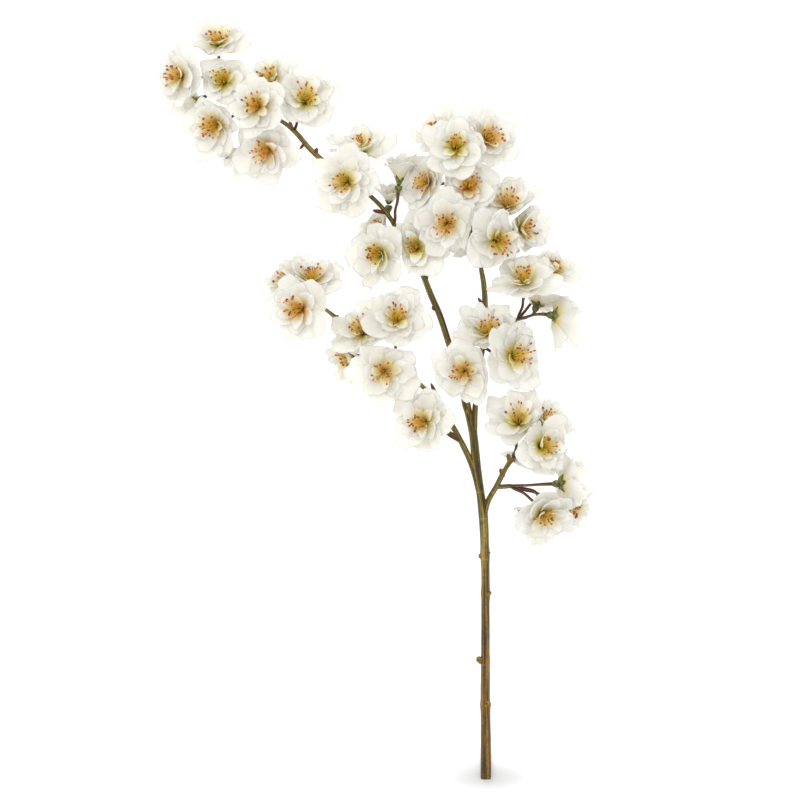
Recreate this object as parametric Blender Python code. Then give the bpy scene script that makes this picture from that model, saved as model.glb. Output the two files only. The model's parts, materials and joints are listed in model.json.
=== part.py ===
"""An apple blossom sprig, cut and laid down on a flat surface.

The sprig lies along +Y with its cut end at -Y. The surface is the plane z = 0, and the blossoms look up
along +Z. A woody branch carries fifty semi-double blossoms. Each blossom sits on the green cup at the end of
its stalk. Crowded petals are bent clear of their neighbours: every blossom keeps to its own convex cell.
"""

import math

import bmesh
import bpy
import numpy as np

MM = 0.001

# Blossom: an open one is 46 mm across. Its petals are blades, joined at the foot.
BLOSSOM_RADIUS = 23.0 * MM
BLADE = 0.65 * MM
PETALS = 5
CROWN_SHARE = 0.60
NOTCH_SHARE = 0.60

# Petal layers: share of the blossom's radius, rise from the middle to the rim, how steeply the rise starts,
# turn in petals, lift over the layer below, how little a deeper cup lifts it, and the rim of one petal as
# (degrees from its middle, share of the radius).
OUTER = {"share": 1.0, "rise": 8.0 * MM, "bow": 1.55, "turn": 0.0, "lift": 0.0, "ease": 0.0,
         "rim": ((-27.0, 0.92), (-11.0, 1.05), (11.0, 1.03), (27.0, 0.90))}
INNER = {"share": 0.70, "rise": 12.0 * MM, "bow": 1.25, "turn": 0.5, "lift": 0.55 * MM, "ease": 0.3,
         "rim": ((-26.0, 0.90), (0.0, 1.03), (26.0, 0.90))}
RIM_LEVEL = 0.72

# How much one petal differs from the next
STRETCH_SWAY = 0.07
LIFT_SWAY = 1.4 * MM
RIM_SWAY = 0.5 * MM
RIM_TWIST = 0.9 * MM / 30.0
CROWN_DIP = 0.9 * MM

# Middle of the blossom
COLLAR_RADIUS = 3.2 * MM
STAMEN_RING = 1.8 * MM
STAMEN_REACH = 5.2 * MM
STAMEN_HEIGHT = 12.5 * MM
STAMEN_SWAY = 0.25
TUFT_HEIGHT = 3.6 * MM

# Stalk and cup
STALK_RADIUS = 1.0 * MM
CUP_RADIUS = 2.5 * MM
CUP_DEPTH = 5.0 * MM
STALK_SWELL = (1.25, 1.0, 0.95, 1.3)
STALK_SIDES = 4
BUD_SIDES = 4
BUD_STATIONS = ((0.0, 0.8), (0.55, 1.0), (1.0, 0.3))
LIMB_SPACING = 18.0 * MM
SEAT_GAP = 0.3 * MM

# Room between neighbours
NEIGHBOUR_GAP = 0.5 * MM
SOFT_ZONE = 3.0 * MM
FLATNESS = 3.4
DISC_HEIGHT = 4.0 * MM

# Limbs of the branch: stations of (plan x, plan y, height in mm, radius in mm), from the thick end.
LIMBS = {
    "main": (8, [
        (81, -270, 3.47, 3.75), (81, -242, 4.2, 3.6), (80.5, -213.5, 5.2, 3.35), (80.5, -185, 6.4, 3.1),
        (80.5, -157, 7.8, 3), (80.5, -129, 9.2, 3), (80, -107.5, 10.5, 3.1), (79, -84.5, 12.2, 3.3),
        (76.5, -65, 13.6, 2.95), (74, -47.5, 15, 3), (71.5, -24.5, 17, 2.9), (67, -5.5, 18.5, 2.6),
        (61, 17.5, 20.5, 2.4), (54.5, 38, 22, 2.3), (48.5, 56.5, 23.5, 2.3), (42.5, 70.5, 24.8, 2.2),
        (35.5, 87.5, 26.2, 2.1), (28, 100, 27.2, 1.9), (20.5, 110, 28, 1.7), (16, 121, 28.6, 1.6),
        (10, 130, 29.2, 1.6), (2, 138.5, 29.6, 1.6), (-7.5, 146.5, 30, 1.7), (-21.5, 156, 30.5, 1.8),
        (-34.5, 166, 31, 1.9), (-44, 175, 31, 1.8), (-53, 185.5, 31, 1.7), (-62.5, 193, 30.5, 1.4),
        (-76.5, 199.5, 30, 1.3), (-91, 207, 29.5, 1.2), (-101.5, 215, 29, 1.1), (-109, 224, 28.5, 1),
    ]),
    "right": (6, [
        (72.5, -30, 16.6, 2), (73, -10.5, 18.4, 2), (75, 8.5, 19.8, 2), (77.5, 29.5, 21.5, 2),
        (80, 47, 23, 2), (80, 64.5, 24.5, 2), (79, 79, 25.6, 1.9), (77, 91.5, 26.6, 1.6),
        (77, 101.5, 27.2, 1.4), (80, 114, 27.8, 1.3), (80, 129.5, 28.4, 1.3), (75, 145, 28.6, 1.2),
        (70, 159, 28.6, 1.1), (67, 168.5, 28.4, 1),
    ]),
    "left": (6, [
        (75.5, -66, 13.6, 1.9), (73.2, -55, 14.5, 2.2), (69.2, -43.5, 15.6, 2.2), (61.5, -28, 16.8, 2),
        (54.5, -16, 18, 1.9), (46, -3.5, 19.4, 1.7), (37, 6.5, 20.6, 1.6), (28.5, 13.5, 21.6, 1.5),
        (17.5, 23, 22.8, 1.4), (5, 32, 24, 1.4), (-8.5, 41.5, 25, 1.6), (-17, 49, 25.4, 1.6),
        (-25, 56, 25.4, 1.5), (-34.5, 63.5, 25.2, 1.2), (-45, 73, 25, 1),
    ]),
    "lower_right": (6, [
        (79, -87, 12.2, 2.2), (82, -74, 14, 1.9), (88, -63, 16.2, 1.9), (92.5, -54, 18.2, 1.7),
        (96.5, -47, 20, 1.6), (101.5, -41.5, 21.6, 1.2),
    ]),
    "twig_e": (6, [
        (87, -63.5, 16, 1.5), (92.5, -63, 17.4, 1.6), (98.5, -62.5, 18.8, 1.5),
    ]),
    "twig_d": (6, [
        (79.5, 41.5, 22.4, 1.4), (88, 45.5, 23.4, 1.2), (96, 50.5, 24.6, 1.2), (103.5, 55, 26, 1.2),
    ]),
}

# Where stalks leave the branch: (plan x, plan y, height in mm).
SPURS = {
    "a_tip": (-109, 224, 28.5), "a4": (-98.5, 213, 29.2), "a3": (-87.5, 205, 29.6),
    "a2": (-69.5, 196, 30.3), "a1": (-54, 186, 31), "b1": (-13.5, 150.5, 30.2), "b2": (-6.5, 145, 30),
    "b3": (14, 124.5, 28.8), "b4": (16, 120.5, 28.6), "b5": (21, 108.5, 27.9), "b6": (26.5, 101.5, 27.3),
    "c_tip": (68, 166.5, 28.5), "c1": (71.5, 154.5, 28.6), "c2": (76.5, 140.5, 28.6), "c3": (80, 128, 28.4),
    "c4": (80, 115.5, 27.8), "c5": (77.5, 105, 27.4), "d_tip": (103, 54.5, 26), "d0": (78.5, 35, 22),
    "d1": (61.5, 14.5, 20.2), "e_tip": (100, -42.5, 21.2), "e_twig": (98, -62.5, 18.7),
    "f_tip": (-43.5, 71.5, 25), "f1": (-34.5, 63.5, 25.2), "f2": (-7.5, 40.5, 24.9), "f3": (2, 34, 24.2),
    "f4": (16, 24, 22.9), "f5": (45.5, -3, 19.5),
}

# Blossoms: name, plan x and y of the middle, height in mm, bearing of its lean in plan (0 right, 90 to the
# sprig's tip), lean from straight up, size, how far it is cupped (1 is wide open), and its spur.
BLOSSOMS = [
    ("a_01", -106.5, 245, 35, 92, 48, 0.96, 1.1, "a_tip"),
    ("a_02", -131, 224, 38, 178, 40, 1.04, 1.0, "a_tip"),
    ("a_03", -102, 219, 42, 110, 22, 1.00, 1.0, "a4"),
    ("a_04", -106.5, 190.5, 41, 200, 35, 1.08, 1.0, "a3"),
    ("a_05", -77, 201.5, 56, 160, 18, 1.02, 1.0, "a3"),
    ("a_06", -46, 205.5, 44, 72, 26, 1.10, 1.0, "a1"),
    ("a_07", -70.5, 173, 43, 215, 28, 1.12, 1.0, "a2"),
    ("a_08", -68, 219, 30, 118, 50, 0.95, 1.0, "a1"),
    ("a_09", -89.5, 174.5, 12, 260, 112, 0.95, 1.0, "a3"),
    ("a_10", -121, 208.5, 12, 215, 112, 0.95, 1.0, "a4"),
    ("b_01", -7, 170, 33, 95, 60, 1.04, 1.3, "b1"),
    ("b_02", -16, 149, 49, 150, 15, 1.08, 1.0, "b2"),
    ("b_03", 19.5, 148, 33, 84, 86, 0.68, 2.6, "b4"),
    ("b_04", 12.5, 135, 16, 86, 80, 0.54, 1.8, "b3"),
    ("b_05", 8.5, 99.5, 40, 185, 38, 1.04, 1.0, "b6"),
    ("b_06", 7.5, 116, 24, 140, 70, 0.90, 1.0, "b5"),
    ("b_07", 32, 103, 43, 90, 10, 1.06, 1.0, "b6"),
    ("c_01", 50.5, 183.5, 33, 145, 50, 0.94, 1.1, "c_tip"),
    ("c_02", 59, 172, 51, 90, 15, 1.06, 1.0, "c_tip"),
    ("c_03", 80, 178.5, 42, 40, 34, 1.10, 1.0, "c_tip"),
    ("c_04", 41, 150, 36, 172, 40, 1.08, 1.0, "c1"),
    ("c_05", 67.5, 145.5, 45, 60, 12, 1.06, 1.0, "c1"),
    ("c_06", 53, 121, 53, 270, 12, 1.08, 1.0, "c3"),
    ("c_07", 95.5, 131.5, 35, 85, 44, 1.04, 1.2, "c3"),
    ("c_08", 86.5, 109.5, 48, 335, 26, 1.08, 1.0, "c4"),
    ("c_09", 103, 117, 37, 5, 46, 1.00, 1.0, "c4"),
    ("c_10", 69, 113, 12, 255, 112, 0.95, 1.0, "c4"),
    ("d_01", 107, 78.5, 43, 92, 50, 1.10, 1.2, "d_tip"),
    ("d_02", 127, 86, 23, 60, 58, 0.80, 1.0, "d_tip"),
    ("d_03", 127, 57, 37, 353, 112, 1.18, 1.3, "d_tip"),
    ("d_04", 116, 64, 22, 72, 116, 0.84, 1.1, "d_tip"),
    ("d_05", 81.5, 43, 37, 92, 40, 1.06, 1.0, "d0"),
    ("d_06", 98, 28, 44, 5, 32, 1.15, 1.0, "d0"),
    ("d_07", 65.5, 18, 46, 180, 8, 1.07, 1.0, "d1"),
    ("e_01", 103, -19, 41, 95, 34, 1.08, 1.0, "e_tip"),
    ("e_02", 117, -34.5, 45, 5, 36, 1.04, 1.0, "e_tip"),
    ("e_03", 121, -20, 26, 50, 62, 0.92, 1.0, "e_tip"),
    ("e_04", 131, -60.5, 37, 2, 113, 1.04, 1.5, "e_twig"),
    ("e_05", 137, -76, 15, 335, 62, 0.84, 1.0, "e_twig"),
    ("e_06", 119, -80, 39, 300, 42, 1.04, 1.0, "e_twig"),
    ("e_07", 109.5, -38, 12.5, 262, 112, 0.86, 1.0, "e_tip"),
    ("e_08", 117, -76, 12, 265, 110, 0.80, 1.0, "e_twig"),
    ("f_01", -57, 77, 29, 118, 50, 0.98, 1.0, "f_tip"),
    ("f_02", -41.5, 79.5, 36, 84, 48, 1.04, 1.1, "f_tip"),
    ("f_03", -47.5, 61, 46, 180, 26, 1.06, 1.0, "f1"),
    ("f_04", -5, 44, 36, 112, 34, 1.08, 1.0, "f2"),
    ("f_05", 18.5, 52.5, 42, 88, 22, 1.02, 1.0, "f4"),
    ("f_06", 9, 18, 47, 0, 6, 1.12, 1.0, "f4"),
    ("f_07", -11, 27.5, 26, 188, 62, 0.98, 1.0, "f3"),
    ("f_08", 38.5, -17, 41, 175, 25, 1.06, 1.0, "f5"),
]

# Buds and stubs on the branch: root (plan x, y, height in mm), tip offset in mm (x, y, z), radius in mm.
BUDS = [
    ((78.8, -113, 10.2), (-2.4, 1.6, 1.2), 1.5),
    ((81, -110.5, 10.3), (2.2, 1, 1.8), 1.2),
    ((81.5, -139, 8.8), (1.8, 1.4, 2.6), 1.7),
    ((77.8, -186, 6.4), (-2.8, 1.6, 1.0), 1.9),
    ((81, -217, 5.2), (1.4, 0.5, 4.3), 2.1),
    ((46, 61.5, 24), (-3.4, 1.8, 1.6), 1.9),
    ((38.5, 81, 25.8), (1.2, 5.2, 1.6), 1.2),
    ((79.5, 62.5, 24.4), (-4.6, 7.2, 1.8), 1.3),
    ((-47, 177, 31), (-2.6, -3.6, 1.2), 1.1),
    ((-39, 170, 31), (1.4, 4.2, 1.8), 1.5),
    ((-53, 186, 31), (-3.8, 1.6, 1), 1.1),
    ((-9, 42, 25), (-5.2, -1.2, 1), 1.4),
    ((48.5, -5.5, 19.2), (-6.6, 15.4, 2.6), 1.6),
    ((63, -31, 16.6), (-12.6, 8.2, 2), 2),
    ((92.5, -56, 17.6), (-1.6, 5.2, 1.8), 1.2),
    ((97.5, -46, 20.2), (-1.4, 5.4, 1.6), 1.3),
    ((99.5, -45, 20.6), (0.4, 5.6, 2.4), 0.9),
    ((10.5, 129, 29), (-9.4, 1.6, 2.6), 1.5),
    ((-24, 54.5, 25.4), (0.8, 3.2, 1.2), 1),
    ((66.5, -5.5, 18.6), (2.6, -7, 2.6), 1.2),
]

COLOURS = {
    "petal": ((0.93, 0.92, 0.87), 0.6),
    "bark": ((0.24, 0.19, 0.07), 0.55),
}


def place(x, y, z):
    """A point given in mm, in metres."""
    return np.array([x, y, z]) * MM


def unit(vector):
    return vector / np.linalg.norm(vector)


def sway(*key):
    """A fixed number from -1 to 1 for a key of whole numbers, so that no two petals are quite alike."""
    mixed = math.sin(sum(k * w for k, w in zip(key, (12.9898, 78.233, 37.719, 4.581)))) * 43758.5453
    return 2.0 * (mixed - math.floor(mixed)) - 1.0


class Blossom:
    """One blossom's frame: its middle, the way that it looks, and the stalk that carries it."""

    def __init__(self, index, row):
        name, x, y, height, bearing, lean, size, cup, spur = row
        self.index = index
        self.name = "blossom_" + name
        self.hub = place(x, y, height)
        b, t = math.radians(bearing), math.radians(lean)
        self.axis = np.array([math.sin(t) * math.cos(b), math.sin(t) * math.sin(b), math.cos(t)])
        self.radius = BLOSSOM_RADIUS * size
        self.middle = self.hub + self.axis * DISC_HEIGHT * cup
        side = unit(np.cross(self.axis, (0.31, 0.21, 0.93) if lean > 60 else (0.9, 0.4, 0.1)))
        self.sides = np.array([side, np.cross(self.axis, side)])
        self.spin = sway(index, 1) * math.pi
        self.cup = cup * (1.0 + 0.12 * sway(index, 2))
        self.flatness = FLATNESS / max(1.0, cup)
        self.stalk = stalk_route(place(*SPURS[spur]), self.hub, self.axis)

    def metric(self):
        """Distances along the axis count for more, so that flat neighbours pass over each other."""
        return np.eye(3) + (self.flatness**2 - 1.0) * np.outer(self.axis, self.axis)

    def world(self, r, angle, h):
        """Points at radius r, angle and height h over the blossom's middle."""
        a = np.asarray(angle) + self.spin
        across = np.multiply.outer(r * np.cos(a), self.sides[0])
        across += np.multiply.outer(r * np.sin(a), self.sides[1])
        return self.hub + across + np.multiply.outer(np.asarray(h), self.axis)


def stalk_route(spur, hub, axis):
    """Four points of a stalk's centreline, from inside the branch to the base of the cup."""
    end = hub - axis * (SEAT_GAP + CUP_DEPTH)
    span = np.linalg.norm(end - spur)
    leave = unit(0.6 * unit(end - spur) + 0.4 * np.array([0.0, 0.0, 1.0 if hub[2] > spur[2] else -1.0]))
    control = [spur, spur + leave * span * 0.33, end - axis * span * 0.40, end]
    steps = np.linspace(0.0, 1.0, 4)[:, None]
    weights = ((1 - steps) ** 3, 3 * steps * (1 - steps) ** 2, 3 * steps**2 * (1 - steps), steps**3)
    return sum(w * c for w, c in zip(weights, control))


def smooth_stations(stations, spacing):
    """Stations (x, y, z, radius) in metres along a curve through the given ones, about a spacing apart."""
    knots = np.array([[*place(x, y, h), r * MM] for x, y, h, r in stations])
    padded = np.vstack([2 * knots[0] - knots[1], knots, 2 * knots[-1] - knots[-2]])
    made = []
    for k in range(1, len(padded) - 2):
        p0, p1, p2, p3 = padded[k - 1 : k + 3]
        pieces = max(1, round(np.linalg.norm((p2 - p1)[:3]) / spacing))
        for t in np.arange(pieces) / pieces:
            made.append(0.5 * (2 * p1 + (p2 - p0) * t + (2 * p0 - 5 * p1 + 4 * p2 - p3) * t**2
                               + (3 * p1 - p0 - 3 * p2 + p3) * t**3))
    made.append(knots[-1])
    return np.array(made)


def obstacle_segments(blossoms):
    """Every straight stretch of wood: (start, end, radius, index of the blossom it carries or -1)."""
    found = []
    for _, stations in LIMBS.values():
        run = smooth_stations(stations, LIMB_SPACING)
        found += [(p[:3], q[:3], max(p[3], q[3]), -1) for p, q in zip(run, run[1:])]
    for b in blossoms:
        found += [(p, q, STALK_RADIUS, b.index) for p, q in zip(b.stalk, b.stalk[1:])]
        found.append((b.stalk[-1], b.hub - b.axis * SEAT_GAP, CUP_RADIUS, b.index))
    return found


def cell_planes(blossom, blossoms, segments):
    """Planes that bound a blossom's own room: a point p is inside where normal . p <= offset."""
    normals, offsets = [], []
    reach = blossom.radius + SOFT_ZONE
    own = blossom.metric()
    for other in blossoms:
        gap = other.middle - blossom.middle
        if other is blossom or np.linalg.norm(gap) > reach + other.radius:
            continue
        normal = unit((own + other.metric()) @ gap)
        share = blossom.radius / (blossom.radius + other.radius)
        normals.append(normal)
        offsets.append(normal @ (blossom.middle + gap * share) - NEIGHBOUR_GAP)
    for start, end, radius, carried in segments:
        along = end - start
        t = -(along @ own @ (start - blossom.middle)) / (along @ own @ along)
        near = start + along * min(1.0, max(0.0, t))
        if np.linalg.norm(near - blossom.middle) > reach + radius:
            continue
        if carried == blossom.index and np.linalg.norm(near - blossom.hub) < 1.6 * CUP_DEPTH:
            continue
        normal = unit(own @ (near - blossom.middle))
        normals.append(normal)
        offsets.append(normal @ near - radius - NEIGHBOUR_GAP)
    return np.array(normals).reshape(-1, 3), np.array(offsets)


def bent_clear(points, blossom, planes):
    """The points moved smoothly into the blossom's room. The move never swaps two points' order."""
    normals, offsets = planes
    points = points.copy()
    for normal, offset in zip(normals, offsets):
        room = offset - points @ normal
        pressed = room < SOFT_ZONE
        eased = SOFT_ZONE * np.exp((room[pressed] - SOFT_ZONE) / SOFT_ZONE)
        points[pressed] += np.multiply.outer(room[pressed] - eased, normal)
    if len(normals):
        spoke = points - blossom.middle
        limits = offsets - normals @ blossom.middle
        share = np.max((spoke @ normals.T) / np.maximum(limits, 0.05 * MM), axis=1)
        keep = 0.9
        over = share > keep
        shrunk = keep + (1.0 - keep) * (1.0 - np.exp(-(share[over] - keep) / (1.0 - keep)))
        points[over] = blossom.middle + spoke[over] * (shrunk / share[over])[:, None]
    return points


def petal_layer(blossom, layer):
    """One layer of joined petals, as a sheet of points: the middle, one crown a petal, then the rim.

    The rim goes round once, and each petal's part of it starts at the notch before that petal.
    """
    key = 0 if layer is OUTER else 1
    crowns, rim = [], []
    for petal in range(PETALS):
        mid = (layer["turn"] + petal) * 2 * math.pi / PETALS
        stretch = 1.0 + STRETCH_SWAY * sway(blossom.index, 10 + petal, key)
        lift = LIFT_SWAY * sway(blossom.index, 20 + petal, key)
        twist = RIM_TWIST * (1 if layer is OUTER else -1)
        crowns.append((CROWN_SHARE * stretch, mid, 0.4 * lift - CROWN_DIP))
        rim.append((NOTCH_SHARE, mid - math.pi / PETALS, 0.0))
        for k, (off, share) in enumerate(layer["rim"]):
            wave = lift + twist * off + RIM_SWAY * sway(blossom.index, petal, k, key)
            rim.append((share * stretch, mid + math.radians(off), wave))
    shares, angles, waves = np.array([(0.0, 0.0, 0.0)] + crowns + rim).T
    # The layer rises steeply from the middle and flattens towards its rim.
    bow = layer["bow"]
    rise = layer["rise"] * (blossom.cup - layer["ease"] * max(0.0, blossom.cup - 1.0))
    level = rise * (bow * shares - (bow - RIM_LEVEL) * shares**2)
    level += waves * np.minimum(1.0, shares) + 0.5 * BLADE + layer["lift"]
    return blossom.world(shares * blossom.radius * layer["share"], angles, level)


def layer_faces(span):
    """Triangles of a petal layer: those round its middle, and those between each crown and its rim."""
    inside, outside = [], []
    rim = [1 + PETALS + k for k in range(PETALS * span)]
    for petal in range(PETALS):
        crown = 1 + petal
        own = [rim[(petal * span + k) % len(rim)] for k in range(span + 1)]
        inside += [(own[0], crown), (crown, own[-1])]
        outside += [(own[k], own[k + 1], crown) for k in range(span)]
    return inside, outside, rim


def sheet_sides(points, faces):
    """The lower and upper side of a sheet, a blade apart and alike triangle by triangle."""
    corners = points[np.array(faces)]
    normals = np.cross(corners[:, 1] - corners[:, 0], corners[:, 2] - corners[:, 0])
    normals /= np.maximum(np.linalg.norm(normals, axis=1), 1e-12)[:, None]
    ups = np.zeros_like(points)
    for normal, face in zip(normals, faces):
        ups[list(face)] += normal
    meet = np.linalg.norm(ups, axis=1)
    count = np.bincount(np.array(faces).ravel(), minlength=len(points))
    reach = 0.5 * BLADE / np.clip(meet / count, 0.75, 1.0)
    ups *= (reach / np.maximum(meet, 1e-9))[:, None]
    low, high = points - ups, points + ups
    # Points laid on the surface give both sides a flat stretch there, whichever side faces down.
    on_surface = points[:, 2] < 0.501 * BLADE
    for side, rise in ((low, -ups[:, 2]), (high, ups[:, 2])):
        side[on_surface, 2] = np.where(rise[on_surface] < 0.0, 0.0, BLADE)
        side[:, 2] = np.maximum(side[:, 2], 0.0)
    return low, high


def toward(points, ends, distance):
    """Points a distance out from the first of the points, on the straight lines to some others."""
    spokes = points[ends] - points[0]
    return points[0] + spokes * (distance / np.linalg.norm(spokes, axis=1))[:, None]


def blossom_shell(blossom, bend):
    """The whole blossom as one closed skin: two petal layers joined at a collar, and a tuft of stamens."""
    sheets = []
    for layer in (OUTER, INNER):
        inside, outside, rim = layer_faces(len(layer["rim"]) + 1)
        faces = [(0, a, b) for a, b in inside] + outside
        low, high = sheet_sides(bend(petal_layer(blossom, layer), layer), faces)
        sheets.append((low, high, inside, outside, rim))
    (low_o, high_o, inside_o, outside_o, rim_o), (low_i, high_i, inside_i, outside_i, rim_i) = sheets

    # The inner layer grows from a collar on the outer layer's upper side, and the stamens from a ring on the
    # inner layer.
    collar = toward(high_o, [a for a, _ in inside_o], COLLAR_RADIUS)
    foot = toward(high_i, [b for _, b in inside_i[::2]], STAMEN_RING)
    tips, top = stamen_points(blossom)
    groups = [low_o, high_o, low_i, high_i, collar, foot, bend(tips, INNER), bend(top, INNER)]
    at_low_o, at_high_o, at_low_i, at_high_i, at_collar, at_foot, at_tips, at_top = (
        sum(len(g) for g in groups[:k]) for k in range(len(groups)))

    def flat(at, triangles, up):
        return [(a + at, b + at, c + at) if up else (c + at, b + at, a + at) for a, b, c in triangles]

    faces = flat(at_low_o, [(0, a, b) for a, b in inside_o] + outside_o, False)
    faces += flat(at_high_o, outside_o, True)
    faces += flat(at_low_i, outside_i, False)
    faces += flat(at_high_i, outside_i, True)
    for rim, low_at, high_at in ((rim_o, at_low_o, at_high_o), (rim_i, at_low_i, at_high_i)):
        for a, b in zip(rim, rim[1:] + rim[:1]):
            faces += [(a + low_at, b + low_at, b + high_at), (a + low_at, b + high_at, a + high_at)]
    for k in range(2 * PETALS):
        here, there = at_collar + k, at_collar + (k + 1) % (2 * PETALS)
        a, b = (v + at_high_o for v in inside_o[k])
        faces += [(here, a, b), (here, b, there)]
        # The inner layer is turned by half a petal, so its notches stand over the outer layer's crowns.
        a, b = (v + at_low_i for v in inside_i[k - 1])
        faces += [(here, there, b), (here, b, a)]
    for k in range(PETALS):
        before, here, there = (at_foot + (k + step) % PETALS for step in (-1, 0, 1))
        notch, crown = (v + at_high_i for v in inside_i[2 * k])
        after = inside_i[2 * k + 1][1] + at_high_i
        faces += [(here, before, notch), (here, notch, crown), (here, crown, after)]
        tip = at_tips + k
        faces += [(here, there, tip), (there, at_top, tip), (at_top, here, tip)]
    return np.vstack(groups), faces


def stamen_points(blossom):
    """Tips of the tapering bunches of stamens, and the point over the middle that they meet at."""
    turns = (np.arange(PETALS) + 1.0) * 2 * math.pi / PETALS
    reach = np.array([1.0 + STAMEN_SWAY * sway(blossom.index, 40 + k) for k in range(PETALS)])
    out = STAMEN_REACH / max(1.0, blossom.cup)
    tips = blossom.world(out * reach, turns, STAMEN_HEIGHT * (1.15 - 0.2 * reach))
    return tips, blossom.world(np.zeros(1), np.zeros(1), np.array([TUFT_HEIGHT]))


def tube(run, sides):
    """A closed tube with the given number of sides along stations (x, y, z, radius)."""
    centres, radii = run[:, :3], run[:, 3]
    heads = np.gradient(centres, axis=0)
    side = np.array([0.0, 0.0, 1.0])
    points = []
    for centre, head, radius in zip(centres, heads, radii):
        head = unit(head)
        side = side - head * (side @ head)
        if np.linalg.norm(side) < 1e-6:
            side = np.array([1.0, 0.0, 0.0]) - head * head[0]
        side = unit(side)
        other = np.cross(head, side)
        for k in range(sides):
            a = 2 * math.pi * (k + 0.5) / sides
            points.append(centre - radius * (math.cos(a) * side + math.sin(a) * other))
    faces = []
    for ring in range(len(run) - 1):
        for k in range(sides):
            a, b = ring * sides + k, ring * sides + (k + 1) % sides
            faces += [(a, b, b + sides), (a, b + sides, a + sides)]
    last = (len(run) - 1) * sides
    faces += [(0, k + 1, k) for k in range(1, sides - 1)]
    faces += [(last, last + k, last + k + 1) for k in range(1, sides - 1)]
    return np.array(points), faces


def stalk_and_cup(blossom):
    """A stalk that swells into the green cup under its blossom."""
    run = [[*p, STALK_RADIUS * s] for p, s in zip(blossom.stalk, STALK_SWELL)]
    run.append([*(blossom.hub - blossom.axis * SEAT_GAP), CUP_RADIUS])
    return tube(np.array(run), STALK_SIDES)


def bud(root, offset, radius):
    """A small pointed bud with its root at the limb's middle."""
    start = place(*root)
    end = start + np.array(offset) * MM
    run = [[*(start + (end - start) * s), radius * MM * w] for s, w in BUD_STATIONS]
    return tube(np.array(run), BUD_SIDES)


def mesh_object(name, points, faces, material):
    mesh = bpy.data.meshes.new(name)
    mesh.from_pydata([tuple(p) for p in points], [], [tuple(f) for f in faces])
    mesh.update()
    made = bpy.data.objects.new(name, mesh)
    made.data.materials.append(material)
    return made


def united(name, shapes, material):
    """One body from several overlapping closed shapes, each (points, faces)."""
    helpers = bpy.data.collections.new(name + "_pieces")
    bpy.context.scene.collection.children.link(helpers)
    first, *rest = [mesh_object(f"{name}_{k}", *shape, material) for k, shape in enumerate(shapes)]
    first.name = name
    bpy.context.scene.collection.objects.link(first)
    for piece in rest:
        helpers.objects.link(piece)
    join = first.modifiers.new("join", "BOOLEAN")
    join.operation = "UNION"
    join.operand_type = "COLLECTION"
    join.collection = helpers
    join.solver = "MANIFOLD"
    bpy.context.view_layer.objects.active = first
    bpy.ops.object.modifier_apply(modifier="join")
    for piece in rest:
        bpy.data.objects.remove(piece)
    bpy.data.collections.remove(helpers)
    keep_outer_skin(first.data)
    return first


def keep_outer_skin(mesh):
    """Fills every hollow that the union sealed, and drops loose scraps: only the largest skin stays."""
    shape = bmesh.new()
    shape.from_mesh(mesh)
    left = set(shape.verts)
    skins = []
    while left:
        queue = [left.pop()]
        skin = set(queue)
        while queue:
            for edge in queue.pop().link_edges:
                for vert in edge.verts:
                    if vert not in skin:
                        skin.add(vert)
                        queue.append(vert)
        left -= skin
        skins.append(skin)
    largest = max(skins, key=len)
    for skin in skins:
        if skin is not largest:
            bmesh.ops.delete(shape, geom=list(skin), context="VERTS")
    shape.to_mesh(mesh)
    shape.free()


def material(name):
    colour, roughness = COLOURS[name]
    made = bpy.data.materials.new(name)
    made.use_nodes = True
    shader = made.node_tree.nodes["Principled BSDF"]
    shader.inputs["Base Color"].default_value = (*colour, 1.0)
    shader.inputs["Roughness"].default_value = roughness
    shader.inputs["Metallic"].default_value = 0.0
    return made


def laid(points, blossom, height):
    """The points bent forward along the surface where they would pass under it."""
    points = points.copy()
    forward = blossom.axis * (1.0, 1.0, 0.0)
    depth = np.maximum(height - points[:, 2], 0.0)
    points += np.multiply.outer(depth, forward)
    points[:, 2] = np.maximum(points[:, 2], height)
    return points


def build_blossom(blossom, planes, petal):
    def bend(points, layer):
        height = (0.5 if layer is OUTER else 2.0) * BLADE
        return laid(bent_clear(laid(points, blossom, height), blossom, planes), blossom, height)

    made = mesh_object(blossom.name, *blossom_shell(blossom, bend), petal)
    bpy.context.scene.collection.objects.link(made)


def build_branch(blossoms, bark):
    shapes = [tube(smooth_stations(stations, LIMB_SPACING), sides) for sides, stations in LIMBS.values()]
    shapes += [stalk_and_cup(b) for b in blossoms]
    shapes += [bud(*row) for row in BUDS]
    return united("branch", shapes, bark)


def main():
    for old in list(bpy.data.objects):
        bpy.data.objects.remove(old)
    blossoms = [Blossom(k, row) for k, row in enumerate(BLOSSOMS)]
    segments = obstacle_segments(blossoms)
    petal, bark = material("petal"), material("bark")
    build_branch(blossoms, bark)
    for blossom in blossoms:
        build_blossom(blossom, cell_planes(blossom, blossoms, segments), petal)


main()
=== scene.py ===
"""An apple blossom sprig, cut and laid down on a pale table, seen from straight above.

The sprig lies along +Y with its cut end at -Y, and the table is the plane z = 0. Every blossom is grown flat by
node trees, as whorls of ruffled petals round a tuft of stamens. It is then shaped into its bowl, set on its stalk,
and bent clear of its neighbours. The wood is swept along the limbs' centrelines and roughened into bark.
"""

import json
import math

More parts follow.
